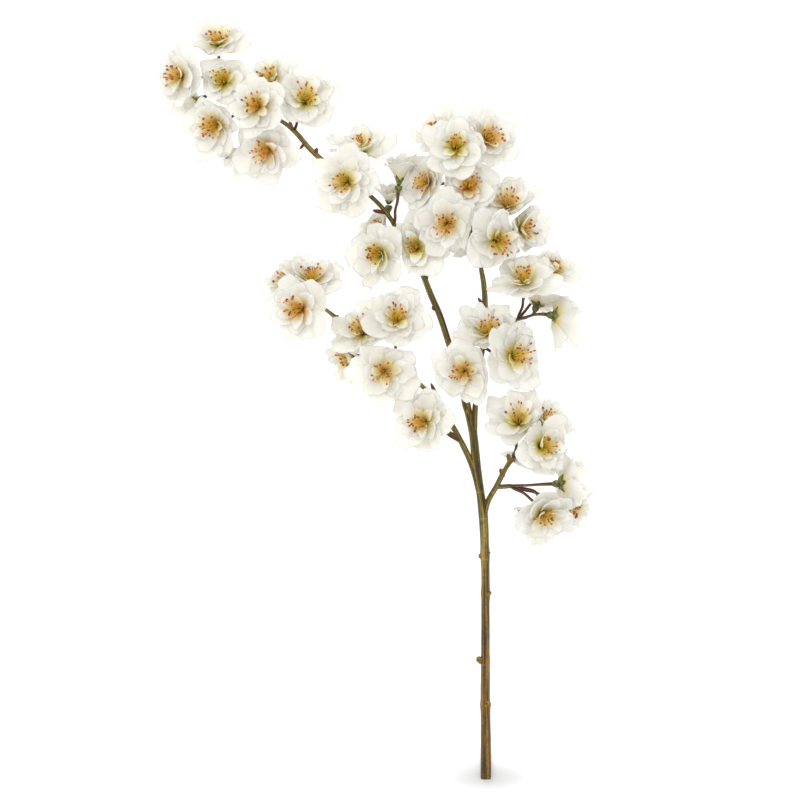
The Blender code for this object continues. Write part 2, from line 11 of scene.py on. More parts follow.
import bpy
import numpy as np
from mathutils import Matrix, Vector

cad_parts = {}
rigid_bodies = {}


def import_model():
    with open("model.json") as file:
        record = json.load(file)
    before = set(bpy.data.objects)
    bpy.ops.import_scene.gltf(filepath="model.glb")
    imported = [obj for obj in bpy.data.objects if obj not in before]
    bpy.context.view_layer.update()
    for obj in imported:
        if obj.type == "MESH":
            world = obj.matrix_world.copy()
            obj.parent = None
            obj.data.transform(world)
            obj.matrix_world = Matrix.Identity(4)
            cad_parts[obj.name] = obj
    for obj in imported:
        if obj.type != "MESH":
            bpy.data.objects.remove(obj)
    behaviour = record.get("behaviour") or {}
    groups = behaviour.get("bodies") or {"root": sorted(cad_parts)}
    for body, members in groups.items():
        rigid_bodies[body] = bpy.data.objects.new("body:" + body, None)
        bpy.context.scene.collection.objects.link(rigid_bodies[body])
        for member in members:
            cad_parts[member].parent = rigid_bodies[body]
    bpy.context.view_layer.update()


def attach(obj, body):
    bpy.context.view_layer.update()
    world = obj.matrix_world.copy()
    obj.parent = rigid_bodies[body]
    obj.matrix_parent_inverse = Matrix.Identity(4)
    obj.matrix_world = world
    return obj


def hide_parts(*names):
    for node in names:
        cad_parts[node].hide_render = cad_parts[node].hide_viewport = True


MM = 0.001

# Blossom: an open one is 46 mm across, and the room that each one keeps to is worked out for blades this thick.
BLOSSOM_RADIUS = 23.0 * MM
BLADE = 0.65 * MM
PETALS = 5
RIM_LEVEL = 0.72

# Whorls of petals: how many, share of the blossom's radius, rise from the middle to the rim, how steeply the rise
# starts, turn in petals, lift over the whorl below, roll of each petal over the next and spread of its pitch in
# degrees, spread of their sizes and of their turns, and how little a deeper cup lifts them.
OUTER = {"petals": 5, "share": 1.0, "rise": 8.0 * MM, "bow": 1.55, "turn": 0.0, "lift": 0.0, "roll": 7.0,
         "pitch": 5.0, "spread": 0.09, "stray": 0.10, "ease": 0.0}
INNER = {"petals": 6, "share": 0.72, "rise": 12.0 * MM, "bow": 1.25, "turn": 0.5, "lift": 0.55 * MM, "roll": 9.0,
         "pitch": 12.0, "spread": 0.18, "stray": 0.22, "ease": 0.3}
THROAT = {"petals": 4, "share": 0.46, "rise": 17.0 * MM, "bow": 1.0, "turn": 0.2, "lift": 1.1 * MM, "roll": 16.0,
          "pitch": 17.0, "spread": 0.28, "stray": 0.5, "ease": 0.8}

# Petal blades: the half angle of the fan that the claw opens into, the claw's own distance from the middle and
# half width, and how full the tip is.
FAN = math.radians(60.0)
CLAW = 0.055
CLAW_WIDTH = 0.8 * MM
TIP_FULLNESS = 0.62
BLADE_MIDDLE = 0.25 * MM
BLADE_RIM = 0.12 * MM
LOBE_DEPTH = 0.055
NOTCH_DEPTH = 0.08
FOLD_HEIGHT = 1.1 * MM
RUFFLE_HEIGHT = 0.9 * MM
SPOON_DEPTH = 1.3 * MM
CURL_HEIGHT = 2.0 * MM

# Stalk, cup and sepals
STALK_RADIUS = 1.0 * MM
CUP_RADIUS = 2.5 * MM
CUP_DEPTH = 5.0 * MM
SEAT_GAP = 0.3 * MM
STALK_SWELL = (1.25, 1.0, 0.95, 1.3)
LIMB_SPACING = 18.0 * MM
SEPAL_SHARE = 0.25
SEPAL_CLEARANCE = 1.0 * MM

# Room between neighbours
NEIGHBOUR_GAP = 0.25 * MM
SOFT_ZONE = 2.0 * MM
WAVE_DEPTH = 0.8 * MM
WAVE_PACE = 2 * math.pi / (20.0 * MM)
FLATNESS = 3.4
DISC_HEIGHT = 4.0 * MM

# Limbs of the branch: stations of (plan x, plan y, height in mm, radius in mm), from the thick end.
LIMBS = {
    "main": [
        (81, -270, 3.47, 3.75), (81, -242, 4.2, 3.6), (80.5, -213.5, 5.2, 3.35), (80.5, -185, 6.4, 3.1),
        (80.5, -157, 7.8, 3), (80.5, -129, 9.2, 3), (80, -107.5, 10.5, 3.1), (79, -84.5, 12.2, 3.3),
        (76.5, -65, 13.6, 2.95), (74, -47.5, 15, 3), (71.5, -24.5, 17, 2.9), (67, -5.5, 18.5, 2.6),
        (61, 17.5, 20.5, 2.4), (54.5, 38, 22, 2.3), (48.5, 56.5, 23.5, 2.3), (42.5, 70.5, 24.8, 2.2),
        (35.5, 87.5, 26.2, 2.1), (28, 100, 27.2, 1.9), (20.5, 110, 28, 1.7), (16, 121, 28.6, 1.6),
        (10, 130, 29.2, 1.6), (2, 138.5, 29.6, 1.6), (-7.5, 146.5, 30, 1.7), (-21.5, 156, 30.5, 1.8),
        (-34.5, 166, 31, 1.9), (-44, 175, 31, 1.8), (-53, 185.5, 31, 1.7), (-62.5, 193, 30.5, 1.4),
        (-76.5, 199.5, 30, 1.3), (-91, 207, 29.5, 1.2), (-101.5, 215, 29, 1.1), (-109, 224, 28.5, 1),
    ],
    "right": [
        (72.5, -30, 16.6, 2), (73, -10.5, 18.4, 2), (75, 8.5, 19.8, 2), (77.5, 29.5, 21.5, 2),
        (80, 47, 23, 2), (80, 64.5, 24.5, 2), (79, 79, 25.6, 1.9), (77, 91.5, 26.6, 1.6),
        (77, 101.5, 27.2, 1.4), (80, 114, 27.8, 1.3), (80, 129.5, 28.4, 1.3), (75, 145, 28.6, 1.2),
        (70, 159, 28.6, 1.1), (67, 168.5, 28.4, 1),
    ],
    "left": [
        (75.5, -66, 13.6, 1.9), (73.2, -55, 14.5, 2.2), (69.2, -43.5, 15.6, 2.2), (61.5, -28, 16.8, 2),
        (54.5, -16, 18, 1.9), (46, -3.5, 19.4, 1.7), (37, 6.5, 20.6, 1.6), (28.5, 13.5, 21.6, 1.5),
        (17.5, 23, 22.8, 1.4), (5, 32, 24, 1.4), (-8.5, 41.5, 25, 1.6), (-17, 49, 25.4, 1.6),
        (-25, 56, 25.4, 1.5), (-34.5, 63.5, 25.2, 1.2), (-45, 73, 25, 1),
    ],
    "lower_right": [
        (79, -87, 12.2, 2.2), (82, -74, 14, 1.9), (88, -63, 16.2, 1.9), (92.5, -54, 18.2, 1.7),
        (96.5, -47, 20, 1.6), (101.5, -41.5, 21.6, 1.2),
    ],
    "twig_e": [
        (87, -63.5, 16, 1.5), (92.5, -63, 17.4, 1.6), (98.5, -62.5, 18.8, 1.5),
    ],
    "twig_d": [
        (79.5, 41.5, 22.4, 1.4), (88, 45.5, 23.4, 1.2), (96, 50.5, 24.6, 1.2), (103.5, 55, 26, 1.2),
    ],
}

# Where stalks leave the branch: (plan x, plan y, height in mm).
SPURS = {
    "a_tip": (-109, 224, 28.5), "a4": (-98.5, 213, 29.2), "a3": (-87.5, 205, 29.6),
    "a2": (-69.5, 196, 30.3), "a1": (-54, 186, 31), "b1": (-13.5, 150.5, 30.2), "b2": (-6.5, 145, 30),
    "b3": (14, 124.5, 28.8), "b4": (16, 120.5, 28.6), "b5": (21, 108.5, 27.9), "b6": (26.5, 101.5, 27.3),
    "c_tip": (68, 166.5, 28.5), "c1": (71.5, 154.5, 28.6), "c2": (76.5, 140.5, 28.6), "c3": (80, 128, 28.4),
    "c4": (80, 115.5, 27.8), "c5": (77.5, 105, 27.4), "d_tip": (103, 54.5, 26), "d0": (78.5, 35, 22),
    "d1": (61.5, 14.5, 20.2), "e_tip": (100, -42.5, 21.2), "e_twig": (98, -62.5, 18.7),
    "f_tip": (-43.5, 71.5, 25), "f1": (-34.5, 63.5, 25.2), "f2": (-7.5, 40.5, 24.9), "f3": (2, 34, 24.2),
    "f4": (16, 24, 22.9), "f5": (45.5, -3, 19.5),
}

# Blossoms: name, plan x and y of the middle, height in mm, bearing of its lean in plan (0 right, 90 to the
# sprig's tip), lean from straight up, size, how far it is cupped (1 is wide open), and its spur.
BLOSSOMS = [
    ("a_01", -106.5, 245, 35, 92, 48, 0.96, 1.1, "a_tip"),
    ("a_02", -131, 224, 38, 178, 40, 1.04, 1.0, "a_tip"),
    ("a_03", -102, 219, 42, 110, 22, 1.00, 1.0, "a4"),
    ("a_04", -106.5, 190.5, 41, 200, 35, 1.08, 1.0, "a3"),
    ("a_05", -77, 201.5, 56, 160, 18, 1.02, 1.0, "a3"),
    ("a_06", -46, 205.5, 44, 72, 26, 1.10, 1.0, "a1"),
    ("a_07", -70.5, 173, 43, 215, 28, 1.12, 1.0, "a2"),
    ("a_08", -68, 219, 30, 118, 50, 0.95, 1.0, "a1"),
    ("a_09", -89.5, 174.5, 12, 260, 112, 0.95, 1.0, "a3"),
    ("a_10", -121, 208.5, 12, 215, 112, 0.95, 1.0, "a4"),
    ("b_01", -7, 170, 33, 95, 60, 1.04, 1.3, "b1"),
    ("b_02", -16, 149, 49, 150, 15, 1.08, 1.0, "b2"),
    ("b_03", 19.5, 148, 33, 84, 86, 0.68, 2.6, "b4"),
    ("b_04", 12.5, 135, 16, 86, 80, 0.54, 1.8, "b3"),
    ("b_05", 8.5, 99.5, 40, 185, 38, 1.04, 1.0, "b6"),
    ("b_06", 7.5, 116, 24, 140, 70, 0.90, 1.0, "b5"),
    ("b_07", 32, 103, 43, 90, 10, 1.06, 1.0, "b6"),
    ("c_01", 50.5, 183.5, 33, 145, 50, 0.94, 1.1, "c_tip"),
    ("c_02", 59, 172, 51, 90, 15, 1.06, 1.0, "c_tip"),
    ("c_03", 80, 178.5, 42, 40, 34, 1.10, 1.0, "c_tip"),
    ("c_04", 41, 150, 36, 172, 40, 1.08, 1.0, "c1"),
    ("c_05", 67.5, 145.5, 45, 60, 12, 1.06, 1.0, "c1"),
    ("c_06", 53, 121, 53, 270, 12, 1.08, 1.0, "c3"),
    ("c_07", 95.5, 131.5, 35, 85, 44, 1.04, 1.2, "c3"),
    ("c_08", 86.5, 109.5, 48, 335, 26, 1.08, 1.0, "c4"),
    ("c_09", 103, 117, 37, 5, 46, 1.00, 1.0, "c4"),
    ("c_10", 69, 113, 12, 255, 112, 0.95, 1.0, "c4"),
    ("d_01", 107, 78.5, 43, 92, 50, 1.10, 1.2, "d_tip"),
    ("d_02", 127, 86, 23, 60, 58, 0.80, 1.0, "d_tip"),
    ("d_03", 127, 57, 37, 353, 112, 1.18, 1.3, "d_tip"),
    ("d_04", 116, 64, 22, 72, 116, 0.84, 1.1, "d_tip"),
    ("d_05", 81.5, 43, 37, 92, 40, 1.06, 1.0, "d0"),
    ("d_06", 98, 28, 44, 5, 32, 1.15, 1.0, "d0"),
    ("d_07", 65.5, 18, 46, 180, 8, 1.07, 1.0, "d1"),
    ("e_01", 103, -19, 41, 95, 34, 1.08, 1.0, "e_tip"),
    ("e_02", 117, -34.5, 45, 5, 36, 1.04, 1.0, "e_tip"),
    ("e_03", 121, -20, 26, 50, 62, 0.92, 1.0, "e_tip"),
    ("e_04", 131, -60.5, 37, 2, 113, 1.04, 1.5, "e_twig"),
    ("e_05", 137, -76, 15, 335, 62, 0.84, 1.0, "e_twig"),
    ("e_06", 119, -80, 39, 300, 42, 1.04, 1.0, "e_twig"),
    ("e_07", 109.5, -38, 12.5, 262, 112, 0.86, 1.0, "e_tip"),
    ("e_08", 117, -76, 12, 265, 110, 0.80, 1.0, "e_twig"),
    ("f_01", -57, 77, 29, 118, 50, 0.98, 1.0, "f_tip"),
    ("f_02", -41.5, 79.5, 36, 84, 48, 1.04, 1.1, "f_tip"),
    ("f_03", -47.5, 61, 46, 180, 26, 1.06, 1.0, "f1"),
    ("f_04", -5, 44, 36, 112, 34, 1.08, 1.0, "f2"),
    ("f_05", 18.5, 52.5, 42, 88, 22, 1.02, 1.0, "f4"),
    ("f_06", 9, 18, 47, 0, 6, 1.12, 1.0, "f4"),
    ("f_07", -11, 27.5, 26, 188, 62, 0.98, 1.0, "f3"),
    ("f_08", 38.5, -17, 41, 175, 25, 1.06, 1.0, "f5"),
]

# How single blossoms are tinted: peach flush round the throat, green of the throat, and the bearing that the
# tuft of stamens leans to. Blossoms not named here take the first row.
TINTS = {
    "": (0.15, 0.45, 150),
    "a_01": (0.05, 0.5, 110), "a_02": (0.3, 0.2, 165), "a_03": (0.0, 1.0, 130), "a_04": (0.5, 0.5, 215),
    "a_05": (0.6, 0.6, 150), "a_06": (0.0, 0.9, 80), "a_07": (0.8, 0.2, 200),
    "b_01": (0.0, 0.6, 100), "b_02": (0.1, 0.8, 200), "b_05": (0.1, 1.0, 160), "b_07": (0.0, 0.9, 180),
    "c_01": (0.1, 0.3, 160), "c_02": (0.0, 1.0, 100), "c_03": (0.7, 0.6, 40), "c_04": (0.5, 0.1, 190),
    "c_05": (1.0, 0.4, 60), "c_06": (0.5, 0.2, 150), "c_07": (0.5, 0.4, 80), "c_08": (0.2, 0.8, 300),
    "c_09": (0.1, 0.3, 340), "d_01": (0.1, 0.4, 100), "d_05": (0.2, 0.6, 60), "d_06": (0.2, 0.7, 30),
    "d_07": (0.4, 0.3, 200), "e_01": (0.1, 0.9, 90), "e_02": (0.1, 0.9, 20), "e_04": (0.1, 0.4, 20),
    "e_06": (0.2, 0.6, 110), "f_01": (0.2, 0.3, 120), "f_02": (0.3, 0.3, 100), "f_03": (0.8, 0.4, 185),
    "f_04": (0.1, 0.4, 120), "f_05": (0.1, 0.6, 90), "f_06": (0.3, 0.4, 220), "f_08": (0.1, 0.3, 190),
}

# Knobs of old bark and buds on the branch: root (plan x, y, height in mm), tip offset in mm (x, y, z), radius
# in mm.
KNOBS = [
    ((78.8, -113, 10.2), (-2.4, 1.6, 1.2), 1.5),
    ((81, -110.5, 10.3), (2.2, 1, 1.8), 1.2),
    ((81.5, -139, 8.8), (1.8, 1.4, 2.6), 1.7),
    ((77.8, -186, 6.4), (-2.8, 1.6, 1.0), 1.9),
    ((81, -217, 5.2), (1.4, 0.5, 4.3), 2.1),
    ((92.5, -56, 17.6), (-1.6, 5.2, 1.8), 1.2),
    ((97.5, -46, 20.2), (-1.4, 5.4, 1.6), 1.3),
    ((99.5, -45, 20.6), (0.4, 5.6, 2.4), 0.9),
    ((66.5, -5.5, 18.6), (2.6, -7, 2.6), 1.2),
]
BUDS = [
    ((46, 61.5, 24), (-3.4, 1.8, 1.6), 1.9),
    ((38.5, 81, 25.8), (1.2, 5.2, 1.6), 1.2),
    ((79.5, 62.5, 24.4), (-4.6, 7.2, 1.8), 1.3),
    ((-47, 177, 31), (-2.6, -3.6, 1.2), 1.1),
    ((-39, 170, 31), (1.4, 4.2, 1.8), 1.5),
    ((-53, 186, 31), (-3.8, 1.6, 1), 1.1),
    ((-9, 42, 25), (-5.2, -1.2, 1), 1.4),
    ((48.5, -5.5, 19.2), (-6.6, 15.4, 2.6), 1.6),
    ((63, -31, 16.6), (-12.6, 8.2, 2), 2),
    ((10.5, 129, 29), (-9.4, 1.6, 2.6), 1.5),
    ((-24, 54.5, 25.4), (0.8, 3.2, 1.2), 1),
]
KNOB_STATIONS = ((0.0, 1.5), (0.4, 1.25), (0.7, 1.22), (0.88, 1.2), (0.98, 1.0), (1.0, 0.7), (0.93, 0.45), (0.9, 0.15))
BUD_STATIONS = ((0.0, 0.8), (0.3, 0.95), (0.55, 1.0), (0.8, 0.78), (0.95, 0.42), (1.0, 0.12))

# Ring scars round the main stem: how far along Y in mm. A scar is a pale low ridge.
SCARS = (-188.5, -114.0, -85.5, -67.0, 8.0, 96.0)
SCAR_HALF_WIDTH = 0.4 * MM
KNEE_HALF_LENGTH = 3.5 * MM

# The camera looks straight down, as far off as a long lens needs.
VIEW_WIDTH = 0.560
LENS = 200.0
SENSOR = 36.0
VIEW_MIDDLE = (0.0203, -0.0021)
CAMERA_LIFT = 0.03


def place(x, y, z):
    """A point given in mm, in metres."""
    return np.array([x, y, z]) * MM


def unit(vector):
    return vector / np.linalg.norm(vector)


def sway(*key):
    """A fixed number from -1 to 1 for a key of whole numbers, so that no two petals are quite alike."""
    mixed = math.sin(sum(k * w for k, w in zip(key, (12.9898, 78.233, 37.719, 4.581)))) * 43758.5453
    return 2.0 * (mixed - math.floor(mixed)) - 1.0


def colour(code):
    """An sRGB hex colour as linear RGBA."""
    parts = [int(code[k : k + 2], 16) / 255.0 for k in (1, 3, 5)]
    return (*(c / 12.92 if c <= 0.04045 else ((c + 0.055) / 1.055) ** 2.4 for c in parts), 1.0)


# Node helper

def add_node(tree, kind, links=None, **settings):
    """Adds a node with its settings. links gives its inputs, by name or number, as values or other nodes' sockets."""
    made = tree.nodes.new(kind)
    for key, value in settings.items():
        setattr(made, key, value)
    for key, value in (links or {}).items():
        if isinstance(value, bpy.types.NodeSocket):
            tree.links.new(value, made.inputs[key])
        else:
            made.inputs[key].default_value = value
    return made


# Where each blossom stands

class Blossom:
    """One blossom's frame: its middle, the way that it looks, and the stalk that carries it."""

    def __init__(self, index, row):
        name, x, y, height, bearing, lean, size, cup, spur = row
        self.index = index
        self.name = "blossom_" + name
        self.hub = place(x, y, height)
        b, t = math.radians(bearing), math.radians(lean)
        self.axis = np.array([math.sin(t) * math.cos(b), math.sin(t) * math.sin(b), math.cos(t)])
        self.radius = BLOSSOM_RADIUS * size
        self.middle = self.hub + self.axis * DISC_HEIGHT * cup
        side = unit(np.cross(self.axis, (0.31, 0.21, 0.93) if lean > 60 else (0.9, 0.4, 0.1)))
        self.sides = np.array([side, np.cross(self.axis, side)])
        self.spin = sway(index, 1) * math.pi
        self.cup = cup * (1.0 + 0.12 * sway(index, 2))
        self.flatness = FLATNESS / max(1.0, cup)
        self.stalk_ends = stalk_controls(place(*SPURS[spur]), self.hub, self.axis)
        self.stalk = bezier(self.stalk_ends, 4)
        self.tint = TINTS.get(name, TINTS[""])

    def metric(self):
        """Distances along the axis count for more, so that flat neighbours pass over each other."""
        return np.eye(3) + (self.flatness**2 - 1.0) * np.outer(self.axis, self.axis)

    def world(self, flat):
        """Points of the flat-grown blossom (x, y across it, z over it) in the sprig's frame."""
        turn = np.array([[math.cos(self.spin), math.sin(self.spin)], [-math.sin(self.spin), math.cos(self.spin)]])
        across = flat[:, :2] @ turn @ self.sides
        return self.hub + across + np.multiply.outer(flat[:, 2], self.axis)


def stalk_controls(spur, hub, axis):
    """Control points of a stalk's centreline, from inside the branch to the base of the cup."""
    end = hub - axis * (SEAT_GAP + CUP_DEPTH)
    span = np.linalg.norm(end - spur)
    leave = unit(0.6 * unit(end - spur) + 0.4 * np.array([0.0, 0.0, 1.0 if hub[2] > spur[2] else -1.0]))
    return [spur, spur + leave * span * 0.33, end - axis * span * 0.40, end]


def bezier(controls, count):
    """Evenly stepped points on a cubic curve."""
    steps = np.linspace(0.0, 1.0, count)[:, None]
    weights = ((1 - steps) ** 3, 3 * steps * (1 - steps) ** 2, 3 * steps**2 * (1 - steps), steps**3)
    return sum(w * c for w, c in zip(weights, controls))


def smooth_stations(stations, spacing):
    """Stations (x, y, z, radius) in metres along a curve through the given ones, about a spacing apart."""
    knots = np.array([[*place(x, y, h), r * MM] for x, y, h, r in stations])
    padded = np.vstack([2 * knots[0] - knots[1], knots, 2 * knots[-1] - knots[-2]])
    made = []
    for k in range(1, len(padded) - 2):
        p0, p1, p2, p3 = padded[k - 1 : k + 3]
        pieces = max(1, round(np.linalg.norm((p2 - p1)[:3]) / spacing))
        for t in np.arange(pieces) / pieces:
            made.append(0.5 * (2 * p1 + (p2 - p0) * t + (2 * p0 - 5 * p1 + 4 * p2 - p3) * t**2
                               + (3 * p1 - p0 - 3 * p2 + p3) * t**3))
    made.append(knots[-1])
    return np.array(made)


# Room for each blossom

SLANTS = np.array([[0.62, -0.35, 0.70], [-0.41, 0.78, 0.47]])


def obstacle_segments(blossoms):
    """Every straight stretch of wood: (start, end, radius, index of the blossom it carries or -1)."""
    found = []
    for stations in LIMBS.values():
        run = smooth_stations(stations, LIMB_SPACING)
        found += [(p[:3], q[:3], max(p[3], q[3]), -1) for p, q in zip(run, run[1:])]
    for b in blossoms:
        found += [(p, q, STALK_RADIUS, b.index) for p, q in zip(b.stalk, b.stalk[1:])]
        found.append((b.stalk[-1], b.hub - b.axis * SEAT_GAP, CUP_RADIUS, b.index))
    return found


def cell_planes(blossom, blossoms, segments):
    """Planes (normal, offset) that bound a blossom's own room: a point p is inside where normal . p <= offset."""
    normals, offsets = [], []
    reach = blossom.radius + SOFT_ZONE
    own = blossom.metric()
    for other in blossoms:
        gap = other.middle - blossom.middle
        if other is blossom or np.linalg.norm(gap) > reach + other.radius:
            continue
        normal = unit((own + other.metric()) @ gap)
        share = blossom.radius / (blossom.radius + other.radius)
        normals.append(normal)
        offsets.append(normal @ (blossom.middle + gap * share) - NEIGHBOUR_GAP)
    for start, end, radius, carried in segments:
        along = end - start
        t = -(along @ own @ (start - blossom.middle)) / (along @ own @ along)
        near = start + along * min(1.0, max(0.0, t))
        if np.linalg.norm(near - blossom.middle) > reach + radius:
            continue
        if carried == blossom.index and np.linalg.norm(near - blossom.hub) < 1.6 * CUP_DEPTH:
            continue
        normal = unit(own @ (near - blossom.middle))
        normals.append(normal)
        offsets.append(normal @ near - radius - NEIGHBOUR_GAP)
    return np.array(normals).reshape(-1, 3), np.array(offsets)


def bent_clear(points, blossom, planes):
    """The points moved smoothly into the blossom's room, whose walls bulge inwards in low waves."""
    normals, offsets = planes
    points = points.copy()
    phases = np.arange(len(offsets)) * 1.7
    waves = np.sin(points @ (WAVE_PACE * SLANTS).T) @ np.array([0.6, 0.4])
    offsets = offsets - 0.5 * WAVE_DEPTH * (1.0 + np.cos(2.0 * waves[:, None] + phases))
    for normal, offset in zip(normals, offsets.T):
        room = offset - points @ normal
        pressed = room < SOFT_ZONE
        eased = SOFT_ZONE * np.exp((room[pressed] - SOFT_ZONE) / SOFT_ZONE)
        points[pressed] += np.multiply.outer(room[pressed] - eased, normal)
    if len(normals):
        spoke = points - blossom.middle
        limits = np.maximum(offsets - normals @ blossom.middle, 0.05 * MM)
        share = np.max((spoke @ normals.T) / limits, axis=1)
        keep = 0.9
        over = share > keep
        shrunk = keep + (1.0 - keep) * (1.0 - np.exp(-(share[over] - keep) / (1.0 - keep)))
        points[over] = blossom.middle + spoke[over] * (shrunk / share[over])[:, None]
    return points


def laid(points, blossom, height):
    """The points bent forward along the surface where they would pass under it."""
    points = points.copy()
    forward = blossom.axis * (1.0, 1.0, 0.0)
    depth = np.maximum(height - points[:, 2], 0.0)
    points += np.multiply.outer(depth, forward)
    points[:, 2] = np.maximum(points[:, 2], height)
    return points


def bent(points, blossom, planes, height):
    """Points kept over the table and inside the blossom's own room."""
    return laid(bent_clear(laid(points, blossom, height), blossom, planes), blossom, height)


# Meshes as arrays

class Shape:
    """A mesh as arrays: points, corners of its faces, where each face starts, face slots and point values."""

    def __init__(self, points, corners, starts, slots, values):
        self.points, self.corners, self.starts, self.slots, self.values = points, corners, starts, slots, values


def shape_of(mesh, value_names, slot=None):
    """A mesh read into arrays. Every face takes the given slot, if there is one."""
    points = np.empty(len(mesh.vertices) * 3)
    mesh.vertices.foreach_get("co", points)
    corners = np.empty(len(mesh.loops), dtype=np.int32)
    mesh.loops.foreach_get("vertex_index", corners)
    starts = np.empty(len(mesh.polygons), dtype=np.int32)
    mesh.polygons.foreach_get("loop_start", starts)
    slots = np.empty(len(mesh.polygons), dtype=np.int32)
    mesh.polygons.foreach_get("material_index", slots)
    if slot is not None:
        slots[:] = slot
    values = {}
    for name in value_names:
        found = np.zeros(len(mesh.vertices))
        if name in mesh.attributes:
            mesh.attributes[name].data.foreach_get("value", found)
        values[name] = found
    return Shape(points.reshape(-1, 3), corners, starts, slots, values)


def piece_from(name, shapes, finishes):
    """One object made of several shapes, with point values as attributes and smooth faces."""
    point_at = np.cumsum([0] + [len(s.points) for s in shapes])
    corner_at = np.cumsum([0] + [len(s.corners) for s in shapes])
    points = np.vstack([s.points for s in shapes])
    corners = np.concatenate([s.corners + at for s, at in zip(shapes, point_at)])
    starts = np.concatenate([s.starts + at for s, at in zip(shapes, corner_at)])
    mesh = bpy.data.meshes.new(name)
    mesh.vertices.add(len(points))
    mesh.vertices.foreach_set("co", points.ravel())
    mesh.loops.add(len(corners))
    mesh.loops.foreach_set("vertex_index", corners)
    mesh.polygons.add(len(starts))
    mesh.polygons.foreach_set("loop_start", starts)
    mesh.polygons.foreach_set("material_index", np.concatenate([s.slots for s in shapes]))
    for key in shapes[0].values:
        layer = mesh.attributes.new(key, "FLOAT", "POINT")
        layer.data.foreach_set("value", np.concatenate([s.values[key] for s in shapes]))
    for finish in finishes:
        mesh.materials.append(finish)
    mesh.update(calc_edges=True)
    mesh.validate()
    mesh.shade_smooth()
    made = bpy.data.objects.new(name, mesh)
    bpy.context.scene.collection.objects.link(made)
    return made


def grown(tree, inputs, source=None):
    """The plain mesh that a node tree makes with the given inputs."""
    mesh = source if source is not None else bpy.data.meshes.new("seedling")
    holder = bpy.data.objects.new("seedling", mesh)
    bpy.context.scene.collection.objects.link(holder)
    growth = holder.modifiers.new("growth", "NODES")
    growth.node_group = tree
    for item in tree.interface.items_tree:
        if item.in_out == "INPUT" and item.name in inputs:
            growth[item.identifier] = inputs[item.name]
    ready = holder.evaluated_get(bpy.context.evaluated_depsgraph_get())
    made = bpy.data.meshes.new_from_object(ready)
    bpy.data.objects.remove(holder)
    return made


# Petals

def petal_blade(key, length, cells, lobes=3.0, width=1.0, depth=1.0):
    """A closed, ruffled petal that lies along +X with its claw near the origin.

    Its lines run out from the claw like the ribs of a fan. Lobes of the rim stand on crests of the blade's folds.
    """
    across, along = cells
    fan = np.linspace(-1.0, 1.0, across + 1)
    reach = np.linspace(0.0, 1.0, along + 1) ** 0.85
    angle = fan * FAN
    phase = math.pi * sway(key, 3)
    phase_fine = math.pi * sway(key, 5)
    crest = np.cos(lobes * math.pi * 0.5 * fan + 0.5 * phase)
    ripple = np.cos(lobes * 2.3 * math.pi * 0.5 * fan + phase_fine)
    frill = np.sin(lobes * 4.6 * math.pi * 0.5 * fan - phase)
    rim = np.cos(angle) ** TIP_FULLNESS
    rim = rim * (1.0 + LOBE_DEPTH * (crest + 0.5 * ripple + 0.22 * frill))
    notch_at = 0.35 * sway(key, 13)
    rim -= NOTCH_DEPTH * np.exp(-(((fan - notch_at) / 0.12) ** 2)) * (0.6 + 0.4 * sway(key, 7))
    body = length * (1.0 - CLAW)
    ray = np.multiply.outer(reach, rim) * body
    x = CLAW * length + ray * np.cos(angle)
    far = reach[:, None]
    y = ray * np.sin(angle) * width + CLAW_WIDTH * fan * (1.0 - far) ** 2
    y = y + 0.08 * sway(key, 15) * length * far**2
    fold = FOLD_HEIGHT * crest * far**1.6
    ruffle = RUFFLE_HEIGHT * (ripple + 0.45 * frill) * far**3.5
    spoon = -SPOON_DEPTH * depth * (1.0 - fan**2) * np.sin(math.pi * far)
    curl = CURL_HEIGHT * sway(key, 9) * np.maximum(far - 0.6, 0.0) ** 2 / 0.16
    curl = curl + 0.7 * CURL_HEIGHT * sway(key, 11) * fan**3 * far**2
    z = (fold + ruffle + spoon + curl) * length / BLOSSOM_RADIUS
    half = 0.5 * (BLADE_MIDDLE + (BLADE_RIM - BLADE_MIDDLE) * np.maximum(far**2, fan**4))
    top = np.stack([x, y, z + half], axis=-1).reshape(-1, 3)
    low = np.stack([x, y, z - half], axis=-1).reshape(-1, 3)

    row = across + 1
    count = row * (along + 1)
    faces = []
    for i in range(along):
        for j in range(across):
            a = i * row + j
            faces.append((a, a + row, a + row + 1, a + 1))
            faces.append((a + count + 1, a + row + count + 1, a + row + count, a + count))
    edge = [i * row for i in range(along + 1)]
    edge += [along * row + j for j in range(1, across + 1)]
    edge += [i * row + across for i in range(along - 1, -1, -1)]
    edge += list(range(across - 1, 0, -1))
    for a, b in zip(edge, edge[1:] + edge[:1]):
        faces.append((b, a, a + count, b + count))
    mesh = bpy.data.meshes.new("petal")
    mesh.from_pydata([tuple(p) for p in np.vstack([top, low])], [], faces)
    for name, value in (("along", np.broadcast_to(far, x.shape)), ("across", np.broadcast_to(fan, x.shape))):
        layer = mesh.attributes.new(name, "FLOAT", "POINT")
        layer.data.foreach_set("value", np.tile(value.ravel(), 2))
    mesh.update()
    return mesh


def sepal_blade(key, length, cells):
    """A pointed green sepal, as a petal blade with its rim drawn to a tip."""
    mesh = petal_blade(key, length, cells, lobes=1.0, width=0.62, depth=0.4)
    points = np.array([v.co for v in mesh.vertices])
    share = np.clip(points[:, 0] / length, 0.0, 1.0)
    points[:, 1] *= (1.0 - share**2.0) * 0.9 + 0.12
    mesh.vertices.foreach_set("co", points.ravel())
    return mesh


def shelf(name, meshes):
    """A collection that holds some shapes for a node tree to pick from."""
    made = bpy.data.collections.new(name)
    bpy.context.scene.collection.children.link(made)
    for k, mesh in enumerate(meshes):
        made.objects.link(bpy.data.objects.new(f"{name}_{k}", mesh))
    return made


